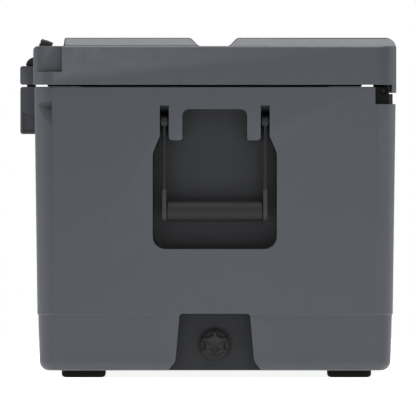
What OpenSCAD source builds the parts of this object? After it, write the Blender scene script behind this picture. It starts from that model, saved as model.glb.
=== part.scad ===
// Hard cooler box: insulated body, hinged insulated lid, two rubber draw latches, two bail
// handles that fold into the ends, four feet and a threaded drain.
// +X is the drain end, -Y is the front with the latches, +Z is up. The origin is on the ground
// under the middle of the whole box.

/* [Box] */
// Length of the lid, end to end
length = 780; // [650:5:940]
// Depth of the lid, front face to back face
depth = 429; // [400:1:515]
// Height of the body, from its underside to its rim
body_h = 335; // [280:1:402]
// Height of the lid, from its underside to its front step
lid_h = 45.8; // [40:0.2:60]
// Height of the raised pads on the lid
pad_h = 9.8; // [5:0.2:14]
// Gap between the rim and the lid, filled by the gasket
seam = 2.4; // [1.5:0.1:4]
// Radius of the four upright corners
corner_r = 25; // [18:1:35]
// Radius of the body's lower edge
base_r = 11; // [6:1:16]
// How far the lid stands out past the body at the front and the ends
overhang = 1.4; // [0.5:0.1:3]
// How far each side of the body leans in between its rim and its base band
draft = 3.5; // [1:0.1:6]
// Depth of the step above the base band
band_step = 1.1; // [0.5:0.1:2]
// Height of the base band above the body's underside
band_h = 66; // [40:1:80]

/* [Walls] */
// Thickness of the outer mouldings
wall = 4; // [3:0.1:5]
// Thickness of the tub and of the lid's inner pan
liner_wall = 3.5; // [2.5:0.1:4.5]
// Insulated wall at the ends and the front, outer face to tub
side_wall = 50; // [46:1:60]
// Insulated wall at the back, outer face to tub, with room for the hinge
back_wall = 75; // [70:1:90]
// Insulated floor, underside to tub
floor_wall = 50; // [42:1:60]
// Radius of the tub's upright corners
tub_r = 32; // [20:1:45]
// Gap left round the foam
foam_gap = 0.2; // [0.1:0.05:0.5]

/* [Hinge] */
// Radius of the hinge rods
rod_r = 2.4; // [2:0.1:3]
// Distance from the hinge axis to the lid's back face
axis_in = 15.2; // [14.8:0.1:17]
// Distance from the hinge axis down to the floor of the rebate
axis_up = 15.7; // [15.5:0.1:18]
// Distance from the hinge axis up to the rim
axis_down = 4.8; // [4:0.1:5]
// Length of one hinge along the box
hinge_l = 90; // [70:1:110]
// Length of the leaf's middle knuckle
knuckle_l = 40; // [30:1:50]
// Distance from each end of the lid to the middle of its hinge
hinge_inset = 92; // [70:1:150]
// Thickness of the hinge leaf's plate
leaf_t = 3.5; // [3:0.1:3.8]
// Length of the middle stop that the open lid rests on
stop_l = 60; // [40:1:90]

/* [Latches] */
// How far the latch bosses stand out from the lid's front
boss_out = 16; // [14:0.5:20]
// Width of a latch boss
boss_w = 84; // [74:1:100]
// Width of the latch's neck
neck_w = 38; // [30:1:44]
// Thickness of the latch's neck
neck_t = 5.8; // [4:0.1:6.5]
// Width of the latch's bulge and pull tab
tab_w = 56; // [50:1:60]
// Radius of the latch's bulge
bulge_r = 11.2; // [9:0.1:12]
// Radius of the latch pins
latch_pin_r = 2.5; // [2:0.1:3]
// Distance from each end of the lid to the middle of its latch
latch_inset = 130; // [110:1:170]
// Height of the boss on the body
body_boss_h = 56; // [50:1:70]
// Height of the boss on the lid
lid_boss_h = 22.2; // [18:0.1:26]

/* [Handles] */
// Distance between the middles of the handle's two arms
arm_spacing = 119.2; // [100:0.5:140]
// Distance from the handle's pivot to the middle of its grip
arm_l = 106.5; // [90:0.5:120]
// Width of the slot that each arm folds into
slot_w = 10.7; // [9:0.1:13]
// Width of the tabs beside the slots
tab_block_w = 16; // [13:0.1:20]
// Depth of the handle recess
recess_d = 34; // [30:0.5:36]
// Distance from the rim down to the handle's pivot
pivot_drop = 40.3; // [36:0.1:50]
// Radius of the handle's pivot pins
handle_pin_r = 3; // [2.5:0.1:3.5]
// Radius of the soft grip
grip_r = 12.4; // [10:0.1:14]

/* [Drain and feet] */
// Radius of the drain plug's head
plug_r = 17.2; // [15:0.1:19]
// Height of the drain's axis above the body's underside
drain_up = 30.3; // [26:0.1:36]
// Depth of the drain recess
drain_d = 26; // [24:0.5:30]
// Radius of the drain's bore
drain_bore_r = 10; // [8:0.5:12]
// Height of the rubber feet
foot_h = 8.6; // [6:0.1:14]
// Width of each foot across the box
foot_w = 52; // [40:1:60]
// Length of each foot along the box
foot_l = 60; // [40:1:70]

/* [Hidden] */
$fn = 64;
eps = 0.01;
past = 20;          // how far a cut runs past the face that it opens
hull_fn = 32;       // roundness of the drafted body's corners
slip = 0.3;         // gap between pieces that move past each other
run_fit = 0.05;     // radial clearance of a pin that turns
snug_fit = 0.02;    // radial clearance of a pin that is fixed

shell_grey = [0.33, 0.34, 0.36];
liner_grey = [0.80, 0.81, 0.82];
foam_cream = [0.93, 0.87, 0.66];
rubber_black = [0.15, 0.15, 0.14];
nylon_black = [0.11, 0.11, 0.12];
steel = [0.70, 0.71, 0.73];

// Levels and faces of the box
rim_z = foot_h + body_h;
lid_z = rim_z + seam;
step_z = lid_z + lid_h;
top_z = step_z + pad_h;
half_l = length / 2;
mid_y = boss_out / 2;
lid_front = mid_y - depth / 2;
lid_back = mid_y + depth / 2;
back_overhang = 0.4;
body_half_l = half_l - overhang;
body_front = lid_front + overhang;
body_back = lid_back - back_overhang;
band_z = foot_h + band_h;
low_draft = 1.5;    // further lean of the base band

// Tub, set from the insulated walls
tub_half_l = body_half_l - side_wall;
tub_front = body_front + side_wall;
tub_back = body_back - back_wall;
tub_d = tub_back - tub_front;
tub_mid = (tub_front + tub_back) / 2;
tub_floor = foot_h + floor_wall;

// Hinge
axis_y = lid_back - axis_in;
axis_z = rim_z - axis_down;
rebate_y = axis_y - 9.7;
rebate_z = axis_z - axis_up;
hinge_x = half_l - hinge_inset;
knuckle_r = 6.4;
skirt_t = 5;
skirt_z = axis_z - 2.5;
leaf_front = rebate_y - 9.6;
ledge_t = 8;        // thickness of the lid shell's ledge above the hinges
stop_y = axis_y + 3.7;
stop_z = axis_z - 3.8;
ledge_y = leaf_front - slip - wall;   // front face of the lid shell's ledge
base_front = 9.4;   // hinge base, axis to its front face
base_back = 6.8;    // hinge base, axis to its back face
base_up = 4.6;      // hinge base, axis to its top
knuckle_dip = 7.2;  // floor of the gap for the leaf's knuckle, below the axis
rod_sink_r = 4.2;   // sink round each end of the rod
rod_sink_d = 3;
stop_notch_up = 14.6;

// Screws, and the posts that they are driven into
screw_r = 2;
screw_head_r = 4;
head_t = 2.2;
socket_r = 1.5;
post_r = 6;
post_l = 22;
lid_post_l = 18;
base_screw_x = 10;  // from the middle of the hinge
base_screw_in = 1.3;
base_screw_l = 20;
leaf_screw_x = 33;
leaf_screw_in = 6.5;
leaf_screw_l = 14;
foot_screw_l = 18;

// Gasket and the lid's inner pan
gasket_w = 9.5;
gasket_off = 35;    // tub's edge to the gasket's outer edge
gasket_bottom = rim_z + 0.1;
pan_drop = 8;       // how far the pan's plug hangs into the tub
plug_gap = 5;       // gap between that plug and the tub

// Latches
latch_x = half_l - latch_inset;
neck_y = lid_front - 5.3;
latch_pin_z = rim_z - 43.6;
boss_slot_w = neck_w + 3;
lid_boss_top = lid_z + lid_boss_h;
bulge_y = lid_front + 1.6;
bulge_z = lid_boss_top - 0.6;
seat_r = norm([boss_out - 5.3 - 3, lid_boss_top - latch_pin_z]) + 0.3;
eye_r = 6.2;
tab_t = 9.6;
tab_lean = 22;
tab_l = (top_z - 0.6 - bulge_z) / cos(tab_lean) - tab_t / 2 * tan(tab_lean);
notch_z = lid_boss_top - 7.1;
notch_d = 22;
notch_w = tab_w + 10;
boss_edge = 3;
eye_gap = 12;               // how far a latch pin runs into each side of its boss
pocket_rim = 3.5;           // edge left round the pocket in a boss's side
pocket_foot = 2.5;
pocket_high = 34.3;         // rim to the pocket's top at the back, then at the front
pocket_high_front = 30.4;

// Pads and groove on the lid
pad_front = lid_front + 36;
groove_w = 35.4;
groove_y = mid_y - 1;
front_edge_r = 5.5;
back_edge_r = 13;
pad_end = 25;

// Handles
pivot_z = rim_z - pivot_drop;
recess_x = body_half_l - recess_d;
pivot_x = body_half_l - 15;
pocket_half = arm_spacing / 2 + 13.85;
pocket_top = -37.3;         // these heights are from the pivot
shoulder_top = -17.7;
pocket_bottom = -151.4;
tab_bottom = -22.7;
window_top = 14.1;
slot_top = 18.5;
ramp_foot = 6;
eye_out_r = 8;
arm_t = 12;                 // thickness of an arm, face of the box inwards
arm_w = 4.6;                // width of an arm
bar_r = 6;
slot_out = arm_spacing / 2 + slot_w / 2;
tab_in = arm_spacing / 2 - slot_w / 2 - tab_block_w;
block_side = 6;             // moulding left beyond each slot
pin_side = 5;               // how far a pin runs into it
pin_proud = 0.8;            // how far a pin's end shows on the tab's inner side

// Corner scoops and corner steps near the front
scoop_y = body_front + 3.6;
scoop_w = 34;
scoop_top = rim_z - 17.9;
scoop_h = 33;
scoop_d = 10;
corner_step_d = 10;
corner_step_w = 34;

// Drain
drain_z = foot_h + drain_up;
drain_x = body_half_l - draft - band_step - drain_d;
drain_top = band_z + 1.2;
drain_flare = 10.4;  // height over which the recess widens towards its open bottom
drain_half_top = 41.5;
drain_half_low = 46.5;
drain_half_base = 56;
sump_half_w = 26;
sump_l = 42;
sump_floor = drain_z - 17.6;
tube_r = drain_bore_r + 2.5;
flange_r = plug_r + 1.8;
flange_t = 3;
washer_t = 1.6;
nut_t = 6;
seal_t = 2.4;
plug_head_l = 13;
plug_shank_l = 20;
scallop_r = 5.6;
scallop_d = 7;
seal_x = drain_x + washer_t + flange_t;

// Feet
foot_x = body_half_l - 75;
foot_front_y = mid_y - 155;
foot_rear_y = mid_y + 159;

// ---- shared outlines -------------------------------------------------------

// Rectangle with round corners, centred
module round_rect(l, d, r) {
  square([l - 2 * r, d], center = true);
  square([l, d - 2 * r], center = true);
  for (x = [-1, 1], y = [-1, 1])
    translate([x * (l / 2 - r), y * (d / 2 - r)]) circle(r);
}

// Turns a Y-Z outline into a bar along +X
module along_x(x, l) {
  translate([x, 0, 0]) rotate([90, 0, 90]) linear_extrude(l) children();
}

// Turns an X-Z outline into a bar along Y, centred on y
module along_y(y, l) {
  translate([0, y + l / 2, 0]) rotate([90, 0, 0]) linear_extrude(l) children();
}

// Round bar along X
module rod_x(x, y, z, r, l) {
  translate([x, y, z]) rotate([0, 90, 0]) cylinder(r = r, h = l);
}

// Round bar along Y
module rod_y(x, y, z, r, l) {
  translate([x, y, z]) rotate([-90, 0, 0]) cylinder(r = r, h = l);
}

// Puts its child at the drain end and, turned round, at the other end
module at_end(side) {
  if (side > 0) children(); else mirror([1, 0, 0]) children();
}

// ---- the body's form -------------------------------------------------------

// One level of the body, h tall from z up, moved in from its rim outline
module body_level(z, in, h) {
  l = 2 * (body_half_l - in);
  d = body_back - body_front - 2 * in;
  r = max(corner_r - in, 4);
  translate([0, (body_front + body_back) / 2, z])
    for (x = [-1, 1], y = [-1, 1])
      translate([x * (l / 2 - r), y * (d / 2 - r)]) cylinder(r = r, h = h, $fn = hull_fn);
}

// The drafted box with its base band and rolled lower edge, moved in by in
module body_form(in) {
  low = in + draft + band_step;
  hull() {
    body_level(rim_z - 2, in, 2);
    body_level(band_z, in + draft, 1);
  }
  hull() {
    body_level(band_z - 1, low, 2);
    for (a = [0 : 15 : 90])
      body_level(foot_h + in + base_r * (1 - cos(a)), low + low_draft + base_r * (1 - sin(a)), 0.5);
  }
}

// The rebate along the back of the rim that the lid's skirt turns down into
module rebate(grow = 0) {
  translate([-half_l - past, rebate_y - grow, rebate_z - grow])
    cube([2 * (half_l + past), lid_back - rebate_y + past, axis_up + axis_down + past + grow]);
}

// Outline of the handle recess round the pivot, without the arm slots
module recess_outline(grow) {
  r = 15;
  h = pocket_top - pocket_bottom;
  translate([0, pocket_bottom + h / 2]) round_rect(2 * (pocket_half + grow), h + 2 * grow, r);
  polygon([
    [-pocket_half - grow, pocket_top - r], [pocket_half + grow, pocket_top - r],
    [pocket_half + grow, pocket_top], [slot_out + grow, shoulder_top],
    [slot_out + grow, tab_bottom + grow], [-slot_out - grow, tab_bottom + grow],
    [-slot_out - grow, shoulder_top], [-pocket_half - grow, pocket_top]
  ]);
  window_h = window_top + grow - pocket_top;
  translate([0, pocket_top + window_h / 2]) round_rect(2 * (tab_in + grow), window_h, 8);
}

// One handle recess with its arm slots, cut in from the end face
module handle_recess(grow = 0) {
  translate([0, mid_y, pivot_z])
    along_x(recess_x - grow, recess_d + past) recess_outline(grow);
  rise = (slot_top - ramp_foot) / recess_d;
  for (side = [-1, 1])
    along_y(mid_y + side * arm_spacing / 2, slot_w + 2 * grow)
      polygon([
        [recess_x - grow, pivot_z + pocket_top],
        [recess_x - grow, pivot_z + ramp_foot + grow],
        [body_half_l + past, pivot_z + slot_top + rise * past + grow],
        [body_half_l + past, pivot_z + pocket_top]
      ]);
}

// Solid moulding round a pair of handle pivots
module pivot_blocks(grow = 0) {
  w = slot_out + block_side - tab_in + 2 * grow;
  for (side = [-1, 1])
    translate([recess_x - wall - grow, mid_y + side * (slot_out + block_side + tab_in) / 2 - w / 2,
               pivot_z + tab_bottom])
      cube([recess_d + past, w, slot_top - tab_bottom + wall + grow]);
}

// The recess in the drain end, open at the bottom
module drain_recess(grow = 0) {
  r = 3.5;
  translate([0, mid_y, 0]) along_x(drain_x - grow, drain_d + past) {
    polygon([
      [-drain_half_top - grow, drain_top - r], [drain_half_top + grow, drain_top - r],
      [drain_half_low + grow, foot_h + drain_flare], [drain_half_base + grow, foot_h - 1],
      [drain_half_base + grow, foot_h - past], [-drain_half_base - grow, foot_h - past],
      [-drain_half_base - grow, foot_h - 1], [-drain_half_low - grow, foot_h + drain_flare]
    ]);
    translate([0, drain_top + grow - 2 * r]) round_rect(2 * (drain_half_top + grow), 4 * r, r);
  }
}

// A scooped hand-hold on the end face near the front, deepest under its top edge
module corner_scoop(grow = 0) {
  along_y(scoop_y + scoop_w / 2, scoop_w + 2 * grow)
    polygon([
      [body_half_l - scoop_d - grow, scoop_top + grow],
      [body_half_l - scoop_d - grow, scoop_top - 4],
      [body_half_l - grow + (grow > 0 ? 0 : 1), scoop_top - scoop_h - grow],
      [body_half_l + past, scoop_top - scoop_h - grow],
      [body_half_l + past, scoop_top + grow]
    ]);
}

// Everything cut into the body's outside
module body_recesses(grow = 0) {
  for (side = [-1, 1]) at_end(side) {
    handle_recess(grow);
    corner_scoop(grow);
  }
  drain_recess(grow);
  rebate(grow);
}

function screw_spots(gap) = [for (x = [-1, 1]) x * gap];

// Moulded posts inside the body that take the screws
module body_posts(grow = 0) {
  for (x = [-1, 1], y = [foot_front_y, foot_rear_y])
    translate([x * foot_x, y, foot_h]) cylinder(r = post_r + grow, h = post_l + grow);
  for (side = [-1, 1], dx = screw_spots(base_screw_x))
    translate([side * hinge_x + dx, axis_y - base_screw_in, rebate_z - post_l - grow])
      cylinder(r = post_r + grow, h = post_l + grow);
}

// The space between the outer moulding and the tub
module body_cavity(gap = 0) {
  difference() {
    body_form(wall + gap);
    body_recesses(wall + gap);
    body_posts(gap);
    for (side = [-1, 1]) at_end(side) pivot_blocks(gap);
  }
}

// Outline of a boss in Y-Z, with round front corners
module boss_outline(front, back, bottom, top) {
  translate([(front + back) / 2, (bottom + top) / 2])
    round_rect(back - front, top - bottom, boss_edge);
}

module body_bosses() {
  for (x = [-latch_x, latch_x])
    along_x(x - boss_w / 2, boss_w)
      boss_outline(lid_front - boss_out + 0.2, body_front + wall, rim_z - body_boss_h, rim_z);
}

// Slots, side pockets and pin bores of the body's latch bosses
module body_boss_cuts() {
  for (x = [-latch_x, latch_x]) {
    translate([x - boss_slot_w / 2, lid_front - boss_out - past, rim_z - body_boss_h - 1])
      cube([boss_slot_w, boss_out + past + body_front - lid_front, body_boss_h + 2]);
    rod_x(x - boss_slot_w / 2 - eye_gap - foam_gap, neck_y, latch_pin_z, latch_pin_r + snug_fit,
          boss_slot_w + 2 * (eye_gap + foam_gap));
    for (side = [-1, 1])
      translate([x + side * (boss_w / 2 + 1) - 4, 0, 0])
        along_x(0, 8) polygon([
          [lid_front - boss_out + pocket_rim, rim_z - body_boss_h + pocket_foot],
          [body_front - slip, rim_z - body_boss_h + pocket_foot],
          [body_front - slip, rim_z - pocket_high],
          [lid_front - boss_out + pocket_rim, rim_z - pocket_high_front]
        ]);
  }
}

module body_shell() color(shell_grey) difference() {
  union() {
    difference() {
      body_form(0);
      body_recesses();
      body_cavity();
    }
    body_bosses();
    translate([-stop_l / 2, stop_y, rebate_z - eps])
      cube([stop_l, lid_back - 0.9 - stop_y, stop_z - rebate_z + eps]);
  }
  body_boss_cuts();
  rod_x(drain_x - wall - 1, mid_y, drain_z, tube_r + snug_fit, wall + 2);
  for (x = [-1, 1], y = [foot_front_y, foot_rear_y])
    translate([x * foot_x, y, foot_h - 1])
      cylinder(r = screw_r + run_fit, h = foot_screw_l - 1);
  for (side = [-1, 1], dx = screw_spots(base_screw_x))
    translate([side * hinge_x + dx, axis_y - base_screw_in, rebate_z - base_screw_l + 5])
      cylinder(r = screw_r + run_fit, h = base_screw_l - 4);
  for (side = [-1, 1]) at_end(side) for (arm = [-1, 1]) handle_pin(arm, snug_fit);
}

// Plan outline of the tub, grown by grow
module tub_plan(grow = 0) {
  translate([0, tub_mid]) round_rect(2 * (tub_half_l + grow), tub_d + 2 * grow, tub_r + grow);
}

module sump(grow = 0) {
  translate([tub_half_l - sump_l - grow, mid_y - sump_half_w - grow, sump_floor - grow])
    cube([sump_l + 2 * grow, 2 * (sump_half_w + grow), tub_floor - sump_floor + grow + eps]);
}

module body_liner() color(liner_grey) difference() {
  union() {
    intersection() {
      translate([0, (body_front + body_back) / 2, rim_z - liner_wall])
        linear_extrude(liner_wall)
          round_rect(2 * (body_half_l - wall - foam_gap),
                     body_back - body_front - 2 * (wall + foam_gap), corner_r - wall);
      translate([-half_l, body_front, rim_z - wall])
        cube([length, rebate_y - wall - foam_gap - body_front, 2 * wall]);
    }
    translate([0, 0, tub_floor - liner_wall])
      linear_extrude(rim_z - tub_floor + liner_wall - eps) tub_plan(liner_wall);
    sump(liner_wall);
  }
  translate([0, 0, tub_floor]) linear_extrude(body_h) tub_plan();
  sump();
  rod_x(tub_half_l - 1, mid_y, drain_z, tube_r + snug_fit, liner_wall + 2);
}

module body_foam() color(foam_cream) difference() {
  body_cavity(foam_gap);
  translate([0, 0, tub_floor - liner_wall - foam_gap])
    linear_extrude(body_h) tub_plan(liner_wall + foam_gap);
  sump(liner_wall + foam_gap);
  rod_x(tub_half_l, mid_y, drain_z, tube_r + foam_gap, side_wall);
  translate([-half_l, -depth, rim_z - liner_wall - foam_gap]) cube([length, 2 * depth, past]);
  body_boss_cuts();
}

// ---- lid -------------------------------------------------------------------

// Section of the lid across the box, with its pads and groove
module lid_section() difference() {
  union() {
    translate([lid_front, lid_z]) square([depth, lid_h - front_edge_r]);
    translate([lid_front + front_edge_r, lid_z]) square([depth - front_edge_r, lid_h]);
    translate([lid_front + front_edge_r, step_z - front_edge_r]) circle(front_edge_r);
    polygon([
      [pad_front, step_z - 1], [pad_front + 1, top_z],
      [groove_y - groove_w / 2 - pad_h, top_z], [groove_y - groove_w / 2, step_z],
      [groove_y - groove_w / 2, step_z - 1]
    ]);
    polygon([
      [groove_y + groove_w / 2, step_z - 1], [groove_y + groove_w / 2, step_z],
      [groove_y + groove_w / 2 + pad_h, top_z], [lid_back, top_z], [lid_back, step_z - 1]
    ]);
  }
  difference() {
    translate([lid_back - back_edge_r, top_z - back_edge_r]) square(back_edge_r + 1);
    translate([lid_back - back_edge_r, top_z - back_edge_r]) circle(back_edge_r);
  }
}

module lid_plan(in = 0) {
  translate([0, mid_y]) round_rect(length - 2 * in, depth - 2 * in, corner_r - in);
}

// Openings in the lid's front for the latches and at its front corners
module lid_notches(grow = 0) {
  for (x = [-latch_x, latch_x])
    translate([x - notch_w / 2 - grow, lid_front - 1, notch_z - grow])
      cube([notch_w + 2 * grow, notch_d + 1 + grow, top_z]);
  for (side = [-1, 1]) at_end(side)
    translate([half_l - corner_step_d - grow, lid_front - past, notch_z - grow])
      cube([past + corner_step_d, past + corner_step_w + grow, top_z]);
}

// Pockets in the lid's lower back edge for the hinges and for the stop
module lid_back_pockets(grow = 0) {
  for (side = [-1, 1])
    translate([side * hinge_x - hinge_l / 2 - 1 - grow, leaf_front - slip - grow, skirt_z - 1])
      cube([hinge_l + 2 + 2 * grow, depth, lid_z + leaf_t + slip + grow - skirt_z + 1]);
  translate([-stop_l / 2 - 1 - grow, stop_y - grow, skirt_z - 1])
    cube([stop_l + 2 + 2 * grow, depth, axis_z + stop_notch_up + grow - skirt_z + 1]);
}

// Moulded posts inside the lid that take the hinge leaf screws
module lid_posts(grow = 0) {
  for (side = [-1, 1], dx = screw_spots(leaf_screw_x))
    translate([side * hinge_x + dx, leaf_front + leaf_screw_in, lid_z + 1])
      cylinder(r = post_r + grow, h = lid_post_l + grow);
}

module lid_cavity(gap = 0) {
  in = wall + gap;
  difference() {
    union() {
      translate([0, 0, lid_z - 1]) linear_extrude(lid_h - in + 1) lid_plan(in);
      for (pad = [[pad_front + 8, groove_y - groove_w / 2 - pad_h - 4],
                  [groove_y + groove_w / 2 + pad_h + 4, lid_back - back_edge_r - 1]])
        translate([-half_l + pad_end + pad_h + in, pad[0] + gap, lid_z])
          cube([length - 2 * (pad_end + pad_h + in), pad[1] - pad[0] - 2 * gap, lid_h + pad_h - in]);
    }
    translate([-half_l, ledge_y - gap, lid_z - 2]) cube([length, depth, ledge_t + 2 + gap]);
    lid_notches(wall + gap);
    lid_back_pockets(wall + gap);
    lid_posts(gap);
  }
}

module lid_shell() color(shell_grey) difference() {
  union() {
    intersection() {
      along_x(-half_l, length) lid_section();
      translate([0, 0, lid_z]) linear_extrude(top_z) lid_plan();
    }
    intersection() {
      translate([-half_l, lid_back - skirt_t, skirt_z]) cube([length, skirt_t, lid_z - skirt_z + 1]);
      translate([0, 0, skirt_z]) linear_extrude(lid_h) lid_plan();
    }
    for (x = [-latch_x, latch_x])
      along_x(x - boss_w / 2, boss_w)
        boss_outline(lid_front - boss_out, lid_front + wall, lid_z, lid_boss_top);
  }
  for (side = [-1, 1]) at_end(side)
    along_y(mid_y, depth + past)
      polygon([
        [half_l - pad_end, step_z], [half_l - pad_end - pad_h - 1, top_z + 1],
        [half_l + past, top_z + 1], [half_l + past, step_z]
      ]);
  for (x = [-latch_x, latch_x])
    translate([x - boss_slot_w / 2, lid_front - boss_out - past, lid_z - 1])
      cube([boss_slot_w, boss_out + past, lid_boss_h + 2]);
  lid_notches();
  lid_back_pockets();
  lid_cavity();
  for (side = [-1, 1], dx = screw_spots(leaf_screw_x))
    translate([side * hinge_x + dx, leaf_front + leaf_screw_in, lid_z])
      cylinder(r = screw_r + run_fit, h = leaf_screw_l + 2);
}

// Ring that follows the tub's edge
module gasket_ring(out, w) difference() {
  tub_plan(out);
  tub_plan(out - w);
}

module lid_liner() color(liner_grey) difference() {
  union() {
    intersection() {
      translate([0, 0, lid_z]) linear_extrude(liner_wall) lid_plan(wall + foam_gap);
      translate([-half_l, lid_front, lid_z - 1])
        cube([length, ledge_y - foam_gap - lid_front, 2 * wall]);
    }
    translate([0, 0, rim_z - pan_drop])
      linear_extrude(lid_z - rim_z + pan_drop + eps) tub_plan(-plug_gap);
  }
  translate([0, 0, rim_z - pan_drop + liner_wall]) linear_extrude(lid_h) tub_plan(-plug_gap - liner_wall);
  translate([0, 0, lid_z - 1]) linear_extrude(3) gasket_ring(gasket_off - 2.5, 4.5);
}

module lid_foam() color(foam_cream) {
  difference() {
    lid_cavity(foam_gap);
    translate([-half_l, -depth, lid_z - past]) cube([length, 2 * depth, past + liner_wall + foam_gap]);
  }
  translate([0, 0, rim_z - pan_drop + liner_wall + foam_gap])
    linear_extrude(lid_z - rim_z + pan_drop + 1) tub_plan(-plug_gap - liner_wall - foam_gap);
}

module lid_gasket() color(rubber_black) {
  translate([0, 0, gasket_bottom])
    linear_extrude(lid_z - gasket_bottom) gasket_ring(gasket_off, gasket_w);
  translate([0, 0, lid_z - eps]) linear_extrude(1.9) gasket_ring(gasket_off - 2.7, 4.1);
}

// ---- hinges ----------------------------------------------------------------

module hinge_base(side) color(nylon_black) {
  x = side * hinge_x;
  l = hinge_l - 4;
  difference() {
    along_x(x - l / 2, l) translate([axis_y, axis_z]) {
      translate([-base_front, -axis_up]) square([base_front, axis_up + base_up]);
      translate([-1, -axis_up]) square([1 + base_back, axis_up]);
      intersection() {
        circle(base_back);
        translate([-1, -1]) square([base_back + 1, base_up + 1]);
      }
    }
    translate([x - knuckle_l / 2 - slip, axis_y - past, axis_z - knuckle_dip])
      cube([knuckle_l + 2 * slip, 2 * past, past]);
    rod_x(x - l, axis_y, axis_z, rod_r + snug_fit, 2 * l);
    for (end = [-1, 1])
      rod_x(x + end * l / 2 - rod_sink_d, axis_y, axis_z, rod_sink_r, 2 * rod_sink_d);
    for (dx = screw_spots(base_screw_x))
      translate([x + dx, axis_y - base_screw_in, axis_z]) base_screw_space();
  }
}

// Room for one countersunk screw in the hinge base, from the axis level down
module base_screw_space() {
  translate([0, 0, -past]) cylinder(r = screw_r + run_fit, h = past);
  translate([0, 0, -knuckle_dip - head_t - 0.2]) cylinder(r = screw_head_r + run_fit, h = past);
}

module hinge_leaf(side) color(nylon_black) {
  x = side * hinge_x;
  difference() {
    union() {
      translate([x - hinge_l / 2, leaf_front, lid_z + 0.2])
        cube([hinge_l, axis_y + 5 - leaf_front, leaf_t - 0.2]);
      translate([x - knuckle_l / 2, axis_y - knuckle_r, axis_z])
        cube([knuckle_l, knuckle_r + 5, lid_z + 1 - axis_z]);
      rod_x(x - knuckle_l / 2, axis_y, axis_z, knuckle_r, knuckle_l);
    }
    rod_x(x - knuckle_l, axis_y, axis_z, rod_r + run_fit, 2 * knuckle_l);
    for (dx = screw_spots(leaf_screw_x)) translate([x + dx, leaf_front + leaf_screw_in, lid_z - 1]) {
      cylinder(r = screw_r + run_fit, h = past);
      cylinder(r = screw_head_r + run_fit, h = 1.2 + head_t);
    }
  }
}

module hinge_rod(side) color(steel)
  rod_x(side * hinge_x - hinge_l / 2 + 4, axis_y, axis_z, rod_r, hinge_l - 8);

// Screw with a flat head, its head's top at the origin, pointing down
module screw(l) difference() {
  union() {
    translate([0, 0, -l]) cylinder(r = screw_r, h = l);
    translate([0, 0, -head_t]) cylinder(r = screw_head_r, h = head_t);
  }
  translate([0, 0, -1]) cylinder(r = socket_r, h = 2, $fn = 6);
}

module hinge_base_screws() color(steel)
  for (side = [-1, 1], dx = screw_spots(base_screw_x))
    translate([side * hinge_x + dx, axis_y - base_screw_in, axis_z - knuckle_dip - 0.1])
      screw(base_screw_l);

module hinge_leaf_screws() color(steel)
  for (side = [-1, 1], dx = screw_spots(leaf_screw_x))
    translate([side * hinge_x + dx, leaf_front + leaf_screw_in, lid_z + 0.2])
      mirror([0, 0, 1]) screw(leaf_screw_l);

// ---- latches ---------------------------------------------------------------

module latch(side) color(rubber_black) {
  x = side * latch_x;
  difference() {
    union() {
      rod_x(x - neck_w / 2, neck_y, latch_pin_z, eye_r, neck_w);
      translate([x - neck_w / 2, neck_y - neck_t / 2, latch_pin_z])
        cube([neck_w, neck_t, bulge_z + bulge_r / 2 - latch_pin_z]);
      difference() {
        union() {
          rod_x(x - tab_w / 2, bulge_y, bulge_z, bulge_r, tab_w);
          translate([x, bulge_y, bulge_z]) rotate([-tab_lean, 0, 0]) {
            translate([-neck_w / 2 - 3, -tab_t / 2, 0]) cube([neck_w + 6, tab_t, tab_l]);
            translate([-tab_w / 2, -tab_t / 2, tab_l - 15]) cube([tab_w, tab_t, 15]);
          }
        }
        rod_x(x - tab_w, neck_y, latch_pin_z, seat_r, 2 * tab_w);
      }
    }
    rod_x(x - neck_w, neck_y, latch_pin_z, latch_pin_r + run_fit, 2 * neck_w);
  }
}

module latch_pin(side) color(steel)
  rod_x(side * latch_x - boss_slot_w / 2 - eye_gap, neck_y, latch_pin_z, latch_pin_r,
        boss_slot_w + 2 * eye_gap);

// ---- handles ---------------------------------------------------------------

// One pivot pin at the drain end, through the slot and the tab beside it
module handle_pin(arm, grow = 0) {
  inner = tab_in - pin_proud;
  outer = slot_out + pin_side;
  from = arm > 0 ? inner : -outer;
  rod_y(pivot_x, mid_y + from - grow, pivot_z, handle_pin_r + grow, outer - inner + 2 * grow);
}

module handle_pins() color(steel)
  for (side = [-1, 1]) at_end(side) for (arm = [-1, 1]) handle_pin(arm);

module handle_bail(side) color(nylon_black) at_end(side) difference() {
  union() {
    for (arm = [-1, 1]) {
      y = mid_y + arm * arm_spacing / 2;
      rod_y(pivot_x, y - slot_w / 2 + 1, pivot_z, eye_out_r, slot_w - 2);
      translate([pivot_x - arm_t / 2, y - arm_w / 2, pivot_z - arm_l]) cube([arm_t, arm_w, arm_l]);
      rod_y(pivot_x, y - arm_w / 2 - 0.4, pivot_z - arm_l, grip_r, arm_w + 0.8);
    }
    rod_y(pivot_x, mid_y - arm_spacing / 2, pivot_z - arm_l, bar_r, arm_spacing);
  }
  rod_y(pivot_x, mid_y - arm_spacing, pivot_z, handle_pin_r + run_fit, 2 * arm_spacing);
}

module handle_grip(side) color(rubber_black) at_end(side) {
  l = arm_spacing - arm_w - 1.6;
  difference() {
    rod_y(pivot_x, mid_y - l / 2, pivot_z - arm_l, grip_r, l);
    rod_y(pivot_x, mid_y - l, pivot_z - arm_l, bar_r + snug_fit, 2 * l);
  }
}

// ---- drain -----------------------------------------------------------------

module drain_fitting() color(nylon_black) difference() {
  union() {
    rod_x(tub_half_l - nut_t - 2, mid_y, drain_z, tube_r, drain_x - tub_half_l + nut_t + 3);
    rod_x(drain_x + washer_t, mid_y, drain_z, flange_r, flange_t);
    rod_x(drain_x - eps, mid_y, drain_z, tube_r, washer_t + 1);
  }
  rod_x(tub_half_l - past, mid_y, drain_z, drain_bore_r, side_wall + 2 * past);
}

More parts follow.
